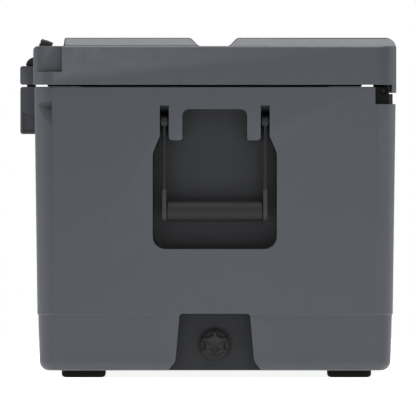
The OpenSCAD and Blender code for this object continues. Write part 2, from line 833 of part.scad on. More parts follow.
module drain_washer() color(rubber_black) difference() {
  rod_x(drain_x, mid_y, drain_z, flange_r - 0.5, washer_t);
  rod_x(drain_x - 1, mid_y, drain_z, tube_r + snug_fit, washer_t + 2);
}

module drain_nut() color(nylon_black) difference() {
  translate([tub_half_l - nut_t, mid_y, drain_z]) rotate([0, 90, 0])
    cylinder(r = 17, h = nut_t, $fn = 6);
  rod_x(tub_half_l - nut_t - 1, mid_y, drain_z, tube_r + snug_fit, nut_t + 2);
}

module drain_plug_seal() color(rubber_black) difference() {
  rod_x(seal_x, mid_y, drain_z, drain_bore_r + 3.5, seal_t);
  rod_x(seal_x - 1, mid_y, drain_z, drain_bore_r - 0.15, seal_t + 2);
}

module drain_plug() color(nylon_black) difference() {
  union() {
    rod_x(seal_x + seal_t, mid_y, drain_z, plug_r, plug_head_l);
    rod_x(seal_x + seal_t - plug_shank_l, mid_y, drain_z, drain_bore_r - 0.2, plug_shank_l + 1);
  }
  for (a = [0 : 60 : 300])
    rod_x(seal_x + seal_t + plug_head_l - scallop_d, mid_y + plug_r * cos(a), drain_z + plug_r * sin(a),
          scallop_r, past);
}

// ---- feet ------------------------------------------------------------------

module foot(x, y) color(rubber_black) difference() {
  hull() {
    translate([x, y, 5]) linear_extrude(foot_h - 5) round_rect(foot_l, foot_w, 8, $fn = hull_fn);
    translate([x, y, 0]) linear_extrude(1) round_rect(foot_l - 6, foot_w - 6, 6, $fn = hull_fn);
  }
  translate([x, y, -1]) cylinder(r = screw_head_r + 0.5, h = 5.5);
  translate([x, y, -1]) cylinder(r = screw_r + run_fit, h = past);
}

module foot_front_left() foot(-foot_x, foot_front_y);
module foot_front_right() foot(foot_x, foot_front_y);
module foot_rear_left() foot(-foot_x, foot_rear_y);
module foot_rear_right() foot(foot_x, foot_rear_y);

module foot_screws() color(steel)
  for (x = [-1, 1], y = [foot_front_y, foot_rear_y])
    translate([x * foot_x, y, 2.3]) mirror([0, 0, 1]) screw(foot_screw_l);

body_shell();
body_liner();
body_foam();
lid_shell();
lid_liner();
lid_foam();
lid_gasket();
hinge_base(-1);  // hinge_base_left
hinge_base(1);  // hinge_base_right
hinge_leaf(-1);  // hinge_leaf_left
hinge_leaf(1);  // hinge_leaf_right
hinge_rod(-1);  // hinge_rod_left
hinge_rod(1);  // hinge_rod_right
hinge_base_screws();
hinge_leaf_screws();
latch(-1);  // latch_left
latch(1);  // latch_right
latch_pin(-1);  // latch_pin_left
latch_pin(1);  // latch_pin_right
handle_bail(-1);  // handle_bail_left
handle_bail(1);  // handle_bail_right
handle_grip(-1);  // handle_grip_left
handle_grip(1);  // handle_grip_right
handle_pins();
foot_front_left();
foot_front_right();
foot_rear_left();
foot_rear_right();
foot_screws();
drain_fitting();
drain_washer();
drain_nut();
drain_plug_seal();
drain_plug();
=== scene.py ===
# %% [markdown]
# # Dressing a hard cooler box
# A working model of the cooler already exists: every piece has its true size and every joint
# moves. It is plain, so this lesson gives it its looks. The big mouldings are built again with
# rounded edges, small parts keep their shape and get softer edges, and every surface gets the
# finish of the plastic, rubber or steel that it is made of.

# %% Load the working model
import math

import bmesh
import bpy
from mathutils import Matrix, Vector


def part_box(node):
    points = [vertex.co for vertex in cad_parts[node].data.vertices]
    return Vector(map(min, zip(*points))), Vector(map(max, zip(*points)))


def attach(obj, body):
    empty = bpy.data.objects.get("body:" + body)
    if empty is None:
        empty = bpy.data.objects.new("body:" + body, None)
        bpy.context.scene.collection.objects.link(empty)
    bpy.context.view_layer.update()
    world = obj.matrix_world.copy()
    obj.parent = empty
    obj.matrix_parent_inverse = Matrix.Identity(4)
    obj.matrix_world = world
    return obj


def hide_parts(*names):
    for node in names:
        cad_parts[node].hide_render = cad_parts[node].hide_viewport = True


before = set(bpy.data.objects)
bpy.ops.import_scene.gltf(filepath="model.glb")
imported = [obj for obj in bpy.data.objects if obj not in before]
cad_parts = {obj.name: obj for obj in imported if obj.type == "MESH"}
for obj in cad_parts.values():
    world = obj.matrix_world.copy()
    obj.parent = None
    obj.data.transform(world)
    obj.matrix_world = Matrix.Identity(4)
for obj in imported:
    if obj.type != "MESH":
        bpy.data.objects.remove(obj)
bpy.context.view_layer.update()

# %% [markdown]
# ## Measures
# Everything is worked in millimetres and turned to metres at the very end. The places of the
# mouldings are read from the working model's own nodes, so a new size needs no new numbers
# here. What can't be read from a node, such as a wall's thickness, is named below.

# %% Read the sizes of the working model
MM = 0.001
X, Y, Z = 0, 1, 2


def low(node, axis):
    """Lowest place of a node along an axis, in mm."""
    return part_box(node)[0][axis] / MM


def high(node, axis):
    """Highest place of a node along an axis, in mm."""
    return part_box(node)[1][axis] / MM


def middle(node, axis):
    """Middle of a node along an axis, in mm."""
    return (low(node, axis) + high(node, axis)) / 2


WALL = 4.0
LINER_WALL = 3.5
GAP = 0.2
BOSS_OUT = 16.0
GASKET_OFF = 35.0

base_z = high("foot_front_right", Z)
rim_z = high("body_shell", Z)
body_end = high("body_shell", X)
body_front = low("body_liner", Y) - WALL - GAP
body_back = high("body_shell", Y)
lid_end = high("lid_shell", X)
lid_front = low("lid_shell", Y) + BOSS_OUT
lid_back = high("lid_shell", Y)
lid_z = high("lid_liner", Z) - LINER_WALL
skirt_z = low("lid_shell", Z)
top_z = high("lid_shell", Z)
tub_end = high("lid_gasket", X) - GASKET_OFF
tub_front = low("lid_gasket", Y) + GASKET_OFF
tub_back = high("lid_gasket", Y) - GASKET_OFF
handle_y = middle("handle_bail_right", Y)
axis_y = middle("hinge_rod_right", Y)
axis_z = middle("hinge_rod_right", Z)
hinge_x = middle("hinge_rod_right", X)
latch_x = middle("latch_pin_right", X)
pin_y = middle("latch_pin_right", Y)
pin_z = middle("latch_pin_right", Z)
drain_z = middle("drain_plug", Z)
print("rim at", round(rim_z, 1), "lid from", round(lid_z, 1), "to", round(top_z, 1))

# %% [markdown]
# ## Outlines
# A moulded part has no sharp corner, because plastic doesn't fill one and a mould can't be cut
# with one. So an outline is a list of corners with a radius each, and one function puts the
# arcs in. That keeps the list as short as the drawing of the real part.

# %% Draw outlines with round corners
def rounded(corners, steps=6):
    """Points of a closed outline. Each corner is (a, b, radius), and becomes an arc."""
    points = []
    for i, (a, b, radius) in enumerate(corners):
        corner = Vector((a, b))
        if radius == 0:
            points.append(corner)
            continue
        back = (Vector(corners[i - 1][:2]) - corner).normalized()
        ahead = (Vector(corners[(i + 1) % len(corners)][:2]) - corner).normalized()
        half = back.angle(ahead) / 2
        centre = corner + (back + ahead).normalized() * radius / math.sin(half)
        first = corner + back * radius / math.tan(half) - centre
        last = corner + ahead * radius / math.tan(half) - centre
        start = math.atan2(first.y, first.x)
        turn = (math.atan2(last.y, last.x) - start + math.pi) % (2 * math.pi) - math.pi
        for k in range(steps + 1):
            angle = start + turn * k / steps
            points.append(centre + radius * Vector((math.cos(angle), math.sin(angle))))
    return points


def circle(a, b, radius, steps=48):
    """Points of a circle."""
    turns = [2 * math.pi * k / steps for k in range(steps)]
    return [Vector((a + radius * math.cos(t), b + radius * math.sin(t))) for t in turns]


def slab(a0, a1, b0, b1, radius=0.0):
    """Corners of a rectangle."""
    return [(a0, b0, radius), (a1, b0, radius), (a1, b1, radius), (a0, b1, radius)]


# %% [markdown]
# ## Solids
# Two ways of making a solid are enough for this box. A prism pushes an outline along an axis:
# that suits bosses, pockets and everything that is cut out. A loft lays a skin over a stack of
# outlines: that suits walls that lean, and edges that roll under. Both give a closed mesh.

# %% Make prisms and lofts
def skin(loops, ring=False):
    """A closed mesh over loops of 3-D points that all have the same count. A ring has no ends."""
    form = bmesh.new()
    rings = [[form.verts.new(p) for p in loop] for loop in loops]
    count = len(rings[0])
    for lower, upper in zip(rings, rings[1:] + rings[:1] if ring else rings[1:]):
        for i in range(count):
            j = (i + 1) % count
            form.faces.new((lower[i], lower[j], upper[j], upper[i]))
    if not ring:
        form.faces.new(rings[0][::-1])
        form.faces.new(rings[-1])
    bmesh.ops.recalc_face_normals(form, faces=form.faces)
    return form


def prism(outline, axis, start, end):
    """A solid with that outline across an axis, from start to end along it."""
    def place(point, t):
        values = list(point)
        values.insert(axis, t)
        return values

    return skin([[place(p, t) for p in outline] for t in (start, end)])


def block(lowest, highest, axis=Z, radius=0.0):
    """A box between two corners. Its edges along the axis can be round."""
    a, b = [i for i in (X, Y, Z) if i != axis]
    outline = rounded(slab(lowest[a], highest[a], lowest[b], highest[b], radius))
    return prism(outline, axis, lowest[axis], highest[axis])


def plan(half, front, back, radius, back_radius=None, steps=10):
    """A level outline: a rectangle centred across the box, with round corners."""
    rear = radius if back_radius is None else back_radius
    return rounded([(half, front, radius), (half, back, rear),
                    (-half, back, rear), (-half, front, radius)], steps)


def level(outline, z):
    """The outline as a loop of points at that height."""
    return [(p.x, p.y, z) for p in outline]


# %% [markdown]
# ## Joining, cutting and softening
# Holes and bosses are made as a machinist or a mould maker would, by cutting with a shape or
# adding one. The exact solver keeps flat faces flat. After that, every sharp edge is rounded by
# a real radius. The rounding goes feature by feature, because a tight spot in one feature would
# otherwise hold back the radius everywhere.

# %% Join, cut and soften solids
def as_object(name, form):
    """An object that holds a mesh worked in mm. It uses the mesh up."""
    mesh = bpy.data.meshes.new(name)
    form.to_mesh(mesh)
    form.free()
    made = bpy.data.objects.new(name, mesh)
    bpy.context.scene.collection.objects.link(made)
    return made


def evaluated(made):
    """The mesh of an object after its modifiers. The object is removed."""
    form = bmesh.new()
    form.from_object(made, bpy.context.evaluated_depsgraph_get())
    mesh = made.data
    bpy.data.objects.remove(made)
    bpy.data.meshes.remove(mesh)
    return form


def combine(base, tools, operation):
    """Adds the tools to a form (UNION), cuts them out (DIFFERENCE) or keeps what both hold."""
    weld = 0.02
    made = as_object("work", base)
    others = [as_object("tool", tool) for tool in tools]
    for other in others:
        step = made.modifiers.new("step", "BOOLEAN")
        step.operation = operation
        step.solver = "EXACT"
        step.object = other
    form = evaluated(made)
    for other in others:
        mesh = other.data
        bpy.data.objects.remove(other)
        bpy.data.meshes.remove(mesh)
    bmesh.ops.remove_doubles(form, verts=form.verts, dist=weld)
    bmesh.ops.dissolve_degenerate(form, edges=form.edges, dist=weld)
    return form


def soften(form, radius, lowest, highest, steps=3, sharp=28):
    """Rounds the sharp edges that lie wholly between two corners."""
    def inside(vert):
        return all(lowest[i] <= vert.co[i] <= highest[i] for i in (X, Y, Z))

    edges = [e for e in form.edges
             if len(e.link_faces) == 2 and e.calc_face_angle(0) > math.radians(sharp)
             and inside(e.verts[0]) and inside(e.verts[1])]
    bmesh.ops.bevel(form, geom=edges, offset=radius, offset_type="OFFSET", segments=steps,
                    profile=0.5, affect="EDGES", clamp_overlap=True)
    return len(edges)


# %% [markdown]
# ## Finishing a piece
# A finished piece is in metres, rides on one body of the working model and may stand for nodes
# of it. Its faces are shaded smooth, but an edge that is still sharp stays sharp, and the flat
# faces pull the shading straight beside their rounded edges.

# %% Finish a piece
def finish_piece(name, form, body, material, nodes=(), sharp=40):
    """Turns a mesh in mm into a piece of the cooler."""
    bmesh.ops.recalc_face_normals(form, faces=form.faces)
    form.transform(Matrix.Scale(MM, 4))
    for face in form.faces:
        face.smooth = True
    piece = as_object(name, form)
    piece.data.set_sharp_from_angle(angle=math.radians(sharp))
    shading = piece.modifiers.new("even_shading", "WEIGHTED_NORMAL")
    shading.keep_sharp = True
    piece.data.materials.append(material)
    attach(piece, body)
    if nodes:
        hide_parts(*nodes)
    print(name, len(piece.data.polygons), "faces")
    return piece


def mirrored(form):
    """A copy of a mesh for the other end of the box."""
    copy = form.copy()
    bmesh.ops.scale(copy, vec=(-1, 1, 1), verts=copy.verts)
    bmesh.ops.reverse_faces(copy, faces=copy.faces)
    return copy


# %% [markdown]
# ## A way to write materials
# Colours are written as the hex values that a paint chart would give, and one function turns
# them to the linear values that light works in. A second function adds a node with its settings
# and its links, so a material reads as a short list. Patterns are drawn on object coordinates,
# in metres, so a grain of 0.6 mm has a scale worked out from 0.6 mm.

# %% Colour and node helpers
def linear(hexa):
    """The linear colour of an sRGB hex value."""
    parts = [int(hexa[i:i + 2], 16) / 255 for i in (1, 3, 5)]
    return tuple(v / 12.92 if v <= 0.04045 else ((v + 0.055) / 1.055) ** 2.4 for v in parts) + (1,)


def add(tree, kind, inputs=None, **settings):
    """Adds one node. An input is a value, or another node's output to link."""
    made = tree.nodes.new(kind)
    for name, value in settings.items():
        setattr(made, name, value)
    for name, value in (inputs or {}).items():
        socket = next(s for s in made.inputs if name in (s.identifier, s.name))
        if isinstance(value, bpy.types.NodeSocket):
            tree.links.new(value, socket)
        else:
            socket.default_value = value
    return made


def blank_material(name):
    """A new material with an empty node tree, the tree, and the place on the object in metres."""
    material = bpy.data.materials.new(name)
    material.use_nodes = True
    tree = material.node_tree
    tree.nodes.clear()
    return material, tree, add(tree, "ShaderNodeTexCoord").outputs["Object"]


COLOUR_RESULT = 2  # a Mix node's output for colours comes after those for numbers and vectors


def per_metre(size_mm):
    """Noise scale that gives features of that size."""
    return 1 / (size_mm * MM)


# %% [markdown]
# ## Moulded plastics and rubbers
# All the plastics here come out of textured moulds: a fine, even grain breaks up reflections
# and hides scratches. What differs is the colour, how shiny the grain is, and how coarse. So one
# recipe makes them all: a colour that drifts a little over a hand's width, a grain in the bump,
# a roughness that varies with rubbing, and corners that handling has burnished a shade lighter.
#
# - polyethylene: the grey outer mouldings, a waxy, low gloss with a pebbled grain
# - coarse polyethylene: the same plastic in the pockets for the handles and the drain, where the
#   mould is blasted rougher for a coarser grain; its darker colour is painted shade for the shadow in
#   these recesses
# - white polyethylene: the tub and the inner pan, smoother so that they wipe clean
# - glass-filled nylon: hinges, bails and drain, hard and a little glossier
# - EPDM and thermoplastic rubber: gasket, latches, grips and feet, dull and almost black

# %% A recipe for moulded plastic and rubber
def moulded(name, colour, worn, rough, grain_mm, grain_depth, gloss=0.5, ior=1.5, drift=0.04):
    """A plastic or rubber with the grain of its mould."""
    material, tree, place = blank_material(name)
    clouds = add(tree, "ShaderNodeTexNoise",
                 {"Vector": place, "Scale": per_metre(90), "Detail": 3.0, "Roughness": 0.5})
    darker = tuple(v * (1 - drift) for v in linear(colour)[:3]) + (1,)
    lighter = tuple(v * (1 + drift) for v in linear(colour)[:3]) + (1,)
    base = add(tree, "ShaderNodeMix", {"Factor_Float": clouds.outputs["Fac"], "A_Color": darker,
                                       "B_Color": lighter}, data_type="RGBA")
    edge = add(tree, "ShaderNodeValToRGB",
               {"Fac": add(tree, "ShaderNodeNewGeometry").outputs["Pointiness"]})
    edge.color_ramp.elements[0].position = 0.53
    edge.color_ramp.elements[1].position = 0.62
    rubbed = add(tree, "ShaderNodeTexNoise",
                 {"Vector": place, "Scale": per_metre(14), "Detail": 4.0, "Roughness": 0.6})
    wear = add(tree, "ShaderNodeMath",
               {"Value": edge.outputs["Color"], "Value_001": rubbed.outputs["Fac"]},
               operation="MULTIPLY")
    final = add(tree, "ShaderNodeMix",
                {"Factor_Float": wear.outputs["Value"], "A_Color": base.outputs[COLOUR_RESULT],
                 "B_Color": linear(worn)}, data_type="RGBA")
    dull = add(tree, "ShaderNodeMapRange",
               {"Value": rubbed.outputs["Fac"], "To Min": rough - 0.05, "To Max": rough + 0.05})
    grain = add(tree, "ShaderNodeTexNoise",
                {"Vector": place, "Scale": per_metre(grain_mm), "Detail": 2.0})
    bump = add(tree, "ShaderNodeBump", {"Height": grain.outputs["Fac"], "Strength": 0.35,
                                        "Distance": grain_depth * MM})
    shader = add(tree, "ShaderNodeBsdfPrincipled",
                 {"Base Color": final.outputs[COLOUR_RESULT], "Roughness": dull.outputs["Result"],
                  "Normal": bump.outputs["Normal"], "IOR": ior, "Specular IOR Level": gloss})
    add(tree, "ShaderNodeOutputMaterial", {"Surface": shader.outputs["BSDF"]})
    return material


# %% Mix the plastics and rubbers
polyethylene = moulded("grey_moulded_polyethylene", "#303339", "#494C51",
                       rough=0.42, grain_mm=0.9, grain_depth=0.04, gloss=0.45)
# Its darker colour is painted shade that stands in for the shadow inside the handle and drain recesses;
# its coarser grain and roughness belong to the surface itself.
painted_shade_polyethylene = moulded("coarse_polyethylene_with_painted_shade", "#2B2C2E", "#393A3C",
                              rough=0.6, grain_mm=1.4, grain_depth=0.12, gloss=0.15)
white_polyethylene = moulded("white_moulded_polyethylene", "#D3D6D6", "#E4E6E6",
                             rough=0.42, grain_mm=0.7, grain_depth=0.02)
nylon = moulded("glass_filled_nylon", "#101112", "#242628",
                rough=0.42, grain_mm=0.5, grain_depth=0.03, gloss=0.25)
latch_rubber = moulded("latch_thermoplastic_rubber", "#262723", "#363733",
                       rough=0.6, grain_mm=0.6, grain_depth=0.04, gloss=0.25)
grip_rubber = moulded("grip_thermoplastic_rubber", "#131514", "#242622",
                      rough=0.62, grain_mm=0.8, grain_depth=0.06, gloss=0.25)
epdm = moulded("black_epdm_rubber", "#121212", "#222222",
               rough=0.72, grain_mm=0.5, grain_depth=0.03, gloss=0.12)
print(len(bpy.data.materials), "materials so far")

# %% [markdown]
# ## Stainless steel
# The rods, pins and screws are drawn or turned from stainless bar. Drawing leaves fine lines
# along the bar, so the light smears across it. A metal shader with noise stretched forty times
# along the bar gives those lines in the roughness and in the bump. The lines of the real bar
# are finer than a picture of a whole cooler can show, so they are drawn at about 0.3 mm. The
# hinge rods and the handle pins are blackened with oxide, which keeps the lines but not the glint.

# %% Drawn stainless steel
def drawn_steel(name, along, dark="#B9BABC", light="#D4D5D6"):
    """Steel bar with its lines along an axis."""
    material, tree, place = blank_material(name)
    stretch = [1.0, 1.0, 1.0]
    stretch[along] = 1 / 40
    squeezed = add(tree, "ShaderNodeMapping", {"Vector": place, "Scale": stretch})
    lines = add(tree, "ShaderNodeTexNoise", {"Vector": squeezed.outputs["Vector"],
                                             "Scale": per_metre(0.3), "Detail": 3.0})
    dull = add(tree, "ShaderNodeMapRange",
               {"Value": lines.outputs["Fac"], "To Min": 0.22, "To Max": 0.42})
    bump = add(tree, "ShaderNodeBump", {"Height": lines.outputs["Fac"], "Strength": 0.2,
                                        "Distance": 0.02 * MM})
    tone = add(tree, "ShaderNodeMix", {"Factor_Float": lines.outputs["Fac"],
                                       "A_Color": linear(dark),
                                       "B_Color": linear(light)}, data_type="RGBA")
    shader = add(tree, "ShaderNodeBsdfPrincipled",
                 {"Base Color": tone.outputs[COLOUR_RESULT], "Metallic": 1.0,
                  "Roughness": dull.outputs["Result"], "Normal": bump.outputs["Normal"]})
    add(tree, "ShaderNodeOutputMaterial", {"Surface": shader.outputs["BSDF"]})
    return material


steel_along_x = drawn_steel("drawn_stainless_steel_x", X)
steel_along_z = drawn_steel("drawn_stainless_steel_z", Z)
blackened_along_x = drawn_steel("blackened_stainless_steel_x", X, "#2A2A2B", "#3A3A3C")
blackened_along_y = drawn_steel("blackened_stainless_steel_y", Y, "#2A2A2B", "#3A3A3C")

# %% [markdown]
# ## The body's outer form
# The body is moulded in one piece. Its walls lean in a few millimetres towards the ground, so
# that it leaves the mould. A band round the foot steps in by a millimetre, and the lower
# edge rolls under. A loft does all of it: one level outline for each height, from the roll up
# to the rim, then down inside to the shelf that the tub's flange lies on, and down round the
# tub to its floor. The space between the two walls stays solid here, because it is full of foam.

# %% Skin the body from the ground to the rim and down into the tub's place
CORNER = 25.0
DRAFT = 3.5
BAND_STEP = 1.1
LOW_DRAFT = 1.5
BASE_ROLL = 11.0
RIM_ROUND = 1.4
TUB_CORNER = 32.0
TUB_SHELF = 3.6
FLOOR_WALL = 50.0
band_z = base_z + 66.0
tub_floor = base_z + FLOOR_WALL
rebate_y = axis_y - 9.7
rebate_z = axis_z - 15.7


def body_level(inset, z):
    """The body's outline at a height, moved in by inset."""
    radius = max(CORNER - inset, 4.0)
    return level(plan(body_end - inset, body_front + inset, body_back - inset, radius), z)


def tub_level(grow, z):
    """The tub's outline at a height, made larger by grow."""
    outline = plan(tub_end + grow, tub_front - grow, tub_back + grow, TUB_CORNER + grow)
    return level(outline, z)


def shelf_level(inset, z):
    """Outline of the shelf for the tub's flange, which stops short of the hinge rebate."""
    outline = plan(body_end - inset, body_front + inset, rebate_y - inset, CORNER - inset, 3.0)
    return level(outline, z)


low_inset = DRAFT + BAND_STEP
loops = []
for turn in range(9):
    a = math.radians(90 * turn / 8)
    loops.append(body_level(low_inset + LOW_DRAFT + BASE_ROLL * (1 - math.sin(a)),
                            base_z + BASE_ROLL * (1 - math.cos(a))))
for part in range(7):
    swing = math.cos(math.pi * part / 6)
    loops.append(body_level(DRAFT + BAND_STEP * (1 + swing) / 2, band_z - 0.7 * swing))
for turn in range(5):
    a = math.radians(90 * turn / 4)
    loops.append(body_level(RIM_ROUND * (1 - math.cos(a)), rim_z - RIM_ROUND * (1 - math.sin(a))))
loops.append(shelf_level(WALL - 0.4, rim_z))
loops.append(shelf_level(WALL, rim_z - 0.4))
loops.append(shelf_level(WALL, rim_z - TUB_SHELF))
loops.append(tub_level(TUB_SHELF, rim_z - TUB_SHELF))
loops.append(tub_level(TUB_SHELF, tub_floor - TUB_SHELF))
body = skin(loops)
print("body form:", len(body.faces), "faces")

# %% [markdown]
# ## Bosses and the lid stop
# Two bosses stand out from the front to carry the latch pins, and a short lug in the rebate
# stops the open lid. They are added as prisms, with the round front corners of the moulding.

# %% Add the latch bosses and the stop
BOSS_W = 84.0
BOSS_EDGE = 3.0
BODY_BOSS_H = 56.0
BOSS_SLOT_W = 41.0
STOP_L = 60.0
boss_front = lid_front - BOSS_OUT
boss_foot = rim_z - BODY_BOSS_H

boss_side = rounded(slab(boss_front + 0.2, body_front + WALL, boss_foot, rim_z, BOSS_EDGE))
bosses = [prism(boss_side, X, x - BOSS_W / 2, x + BOSS_W / 2) for x in (-latch_x, latch_x)]
body = combine(body, bosses, "UNION")
past = 30.0
rebate = block((-body_end - past, rebate_y, rebate_z), (body_end + past, body_back + past, rim_z + past))
body = combine(body, [rebate], "DIFFERENCE")
stop = block((-STOP_L / 2, axis_y + 3.7, rebate_z - 1), (STOP_L / 2, body_back - 0.5, axis_z - 3.8))
body = combine(body, [stop], "UNION")

# %% [markdown]
# ## Slots and pockets in the bosses
# Each boss has a slot in the middle for the rubber neck, and a pocket cored out of both sides,
# as moulders do to keep a thick lump from sinking as it cools.

# %% Cut the bosses
def boss_cuts(x):
    """The neck's slot and the two side pockets of one boss."""
    slot = block((x - BOSS_SLOT_W / 2, boss_front - past, boss_foot - 1),
                 (x + BOSS_SLOT_W / 2, body_front - 0.1, rim_z + 1))
    pocket = rounded([(boss_front + 3.5, boss_foot + 2.5, 2), (body_front - 0.3, boss_foot + 2.5, 2),
                      (body_front - 0.3, rim_z - 34.3, 2), (boss_front + 3.5, rim_z - 30.4, 2)])
    sides = [prism(pocket, X, x + side * (BOSS_W / 2 + 1) - 4, x + side * (BOSS_W / 2 + 1) + 4)
             for side in (-1, 1)]
    return [slot, *sides]


body = combine(body, [cut for x in (-latch_x, latch_x) for cut in boss_cuts(x)], "DIFFERENCE")
for x in (-latch_x, latch_x):
    soften(body, 1.2, (x - BOSS_W / 2 - 2, boss_front - 1, boss_foot - 2),
           (x + BOSS_W / 2 + 2, body_front - 1.0, rim_z + 1))

# %% [markdown]
# ## The handle recess
# Each end has a deep recess that the handle folds into. Its outline is a wide pocket with
# sloping shoulders, a window between two tabs, and beside each tab a narrow slot for an arm. A
# pin through the tab holds the arm. The slots run out to the face along a ramp, so that the
# arm can swing up. The recess is one prism, and the slots are two more pushed across it.

# %% Cut the handle recesses
RECESS_D = 34.0
ARM_SPACING = 119.2
SLOT_W = 10.7
TAB_W = 16.0
EYE_R = 8.0
pivot_x = middle("handle_grip_right", X)
pivot_z = high("handle_bail_right", Z) - EYE_R
recess_x = body_end - RECESS_D
slot_out = ARM_SPACING / 2 + SLOT_W / 2
slot_in = ARM_SPACING / 2 - SLOT_W / 2
tab_in = slot_in - TAB_W
half_pocket = ARM_SPACING / 2 + 13.85
POCKET_TOP = -37.3
SHOULDER = -17.7
POCKET_FOOT = -151.4
TAB_FOOT = -22.7
WINDOW_TOP = 14.1
SLOT_TOP = 18.5
RECESS_DRAFT = 0.022
RAMP_FOOT = 6.0


def recess_outline():
    """The recess without its slots, from the pivot, one side and then the other."""
    half = [(half_pocket, POCKET_FOOT, 15), (half_pocket, POCKET_TOP, 18),
            (slot_out, SHOULDER, 9), (slot_out, SHOULDER + 4, 0), (slot_in, SHOULDER + 4, 0),
            (slot_in, TAB_FOOT, 4), (tab_in, TAB_FOOT, 2.5), (tab_in, WINDOW_TOP, 8)]
    other = [(-a, b, radius) for a, b, radius in reversed(half)]
    corners = [(handle_y + a, pivot_z + b, radius) for a, b, radius in half + other]
    return rounded(corners, steps=8)


def arm_slot(side):
    """The slot for one arm, with a ramp at its top that runs out to the face."""
    rise = (SLOT_TOP - RAMP_FOOT) / RECESS_D
    y = handle_y + side * ARM_SPACING / 2
    outline = [(recess_x, pivot_z + POCKET_TOP - 4), (recess_x, pivot_z + RAMP_FOOT),
               (body_end + past, pivot_z + SLOT_TOP + rise * past),
               (body_end + past, pivot_z + POCKET_TOP - 4)]
    return prism(outline, Y, y - SLOT_W / 2, y + SLOT_W / 2)


def drafted_recess():
    """The recess, a little smaller at its floor than at the face."""
    heart = Vector((handle_y, pivot_z + (POCKET_TOP + POCKET_FOOT) / 2))
    outline = recess_outline()
    floor = [heart + (p - heart) * (1 - RECESS_DRAFT) for p in outline]
    return skin([[(x, p.x, p.y) for p in loop]
                 for x, loop in ((recess_x, floor), (body_end, outline), (body_end + past, outline))])


recess = combine(drafted_recess(), [arm_slot(-1), arm_slot(1)], "UNION")
body = combine(body, [mirrored(recess), recess], "DIFFERENCE")
for side in (-1, 1):
    face = sorted((side * (body_end - 8), side * (body_end + 1)))
    count = soften(body, 0.9, (face[0], handle_y - half_pocket - 2, pivot_z + POCKET_FOOT - 2),
                   (face[1], handle_y + half_pocket + 2, rim_z - 10), steps=2)
    floor = sorted((side * (recess_x - 0.5), side * (recess_x + 0.5)))
    soften(body, 2.5, (floor[0], handle_y - half_pocket - 2, pivot_z + POCKET_FOOT - 2),
           (floor[1], handle_y + half_pocket + 2, rim_z - 10))
    print("recess edges rounded:", count)

# %% [markdown]
# ## Corner scoops
# Near the front of each end there is a small scoop, deepest under its own top edge. It is a
# wedge pushed along the end's face.

# %% Cut the corner scoops
SCOOP_W = 34.0
SCOOP_D = 10.0
SCOOP_H = 33.0
scoop_y = body_front + 3.6
scoop_top = rim_z - 17.9

scoop = prism(rounded([(body_end - SCOOP_D, scoop_top, 2), (body_end - SCOOP_D, scoop_top - 5, 3),
                       (body_end + 1.5, scoop_top - SCOOP_H, 0),
                       (body_end + past, scoop_top - SCOOP_H, 0),
                       (body_end + past, scoop_top, 0)]),
              Y, scoop_y - SCOOP_W / 2, scoop_y + SCOOP_W / 2)
body = combine(body, [mirrored(scoop), scoop], "DIFFERENCE")
for side in (-1, 1):
    near = sorted((side * (body_end - SCOOP_D - 2), side * (body_end + 1)))
    soften(body, 0.8, (near[0], body_front + 3, scoop_top - SCOOP_H - 4),
           (near[1], scoop_y + SCOOP_W / 2 + 2, scoop_top + 2), steps=2)

# %% [markdown]
# ## The drain recess
# The drain sits in a recess at the foot of one end, open below so that the last water runs out.
# Its sides lean outwards, and flare where they reach the ground. Behind it a bore takes the
# drain's tube to a small sump in the tub's floor.

# %% Cut the drain recess, its bore and the sump's place
DRAIN_TUBE_R = 12.5
SUMP_HALF = 26.0
SUMP_L = 42.0
drain_x = low("drain_washer", X)
drain_top = band_z + 1.2
sump_floor = low("body_liner", Z) + LINER_WALL

half = [(56.0, base_z - past, 0), (56.0, base_z - 1, 0), (46.5, base_z + 10.4, 14), (41.5, drain_top, 4)]
corners = half + [(-a, b, radius) for a, b, radius in reversed(half)]
drain_recess = prism(rounded([(handle_y + a, b, radius) for a, b, radius in corners], steps=8),
                     X, drain_x, body_end + past)
bore = prism(circle(handle_y, drain_z, DRAIN_TUBE_R + 0.05), X, tub_end - 2, drain_x + 1)
sump_place = block((tub_end - SUMP_L - TUB_SHELF, handle_y - SUMP_HALF - TUB_SHELF,
                    sump_floor - TUB_SHELF),
                   (tub_end + TUB_SHELF, handle_y + SUMP_HALF + TUB_SHELF, tub_floor), radius=4)
body = combine(body, [drain_recess, bore, sump_place], "DIFFERENCE")
soften(body, 1.0, (body_end - 12, handle_y - 60, base_z + 0.5),
       (body_end, handle_y + 60, drain_top + 2), steps=2)
soften(body, 3.0, (drain_x - 0.5, handle_y - 60, base_z + 0.5),
       (drain_x + 0.5, handle_y + 60, drain_top + 2))

# %% Finish the body
body_piece = finish_piece("body_moulding", body, "cooler_body", polyethylene,
                          ("body_shell", "body_foam"))
# A second material whose darker colour is painted shade for the recesses.
body_piece.data.materials.append(painted_shade_polyethylene)


def gets_painted_shade(spot):
    """Whether a place in mm lies in a handle recess or in the drain recess, where the faces get painted
    shade.
    """
    x, y, z = abs(spot.x), spot.y - handle_y, spot.z
    if x > body_end - 3.6 or x < body_end - RECESS_D - 12:
        return False
    recess = abs(y) < half_pocket + 1 and POCKET_FOOT - 1 < z - pivot_z < SLOT_TOP + 1
    drain = spot.x > 0 and abs(y) < 60 and z < drain_top + 0.5
    return recess or drain


# Faces inside the recesses take the darker material as painted shade.
painted_shade_faces = [face for face in body_piece.data.polygons if gets_painted_shade(face.center / MM)]
for face in painted_shade_faces:
    face.material_index = 1
print(len(painted_shade_faces), "faces with the coarse grain")

# %% [markdown]
# ## The lid
# The lid is a deep tray turned over, filled with foam like the body. Its top edge rolls over
# by a few millimetres, and by twice that along the front, so the roll's radius changes with the
# way the wall faces. Two raised pads stand on it with a groove between them. They are blocks
# with leaning sides, softened and then joined on.

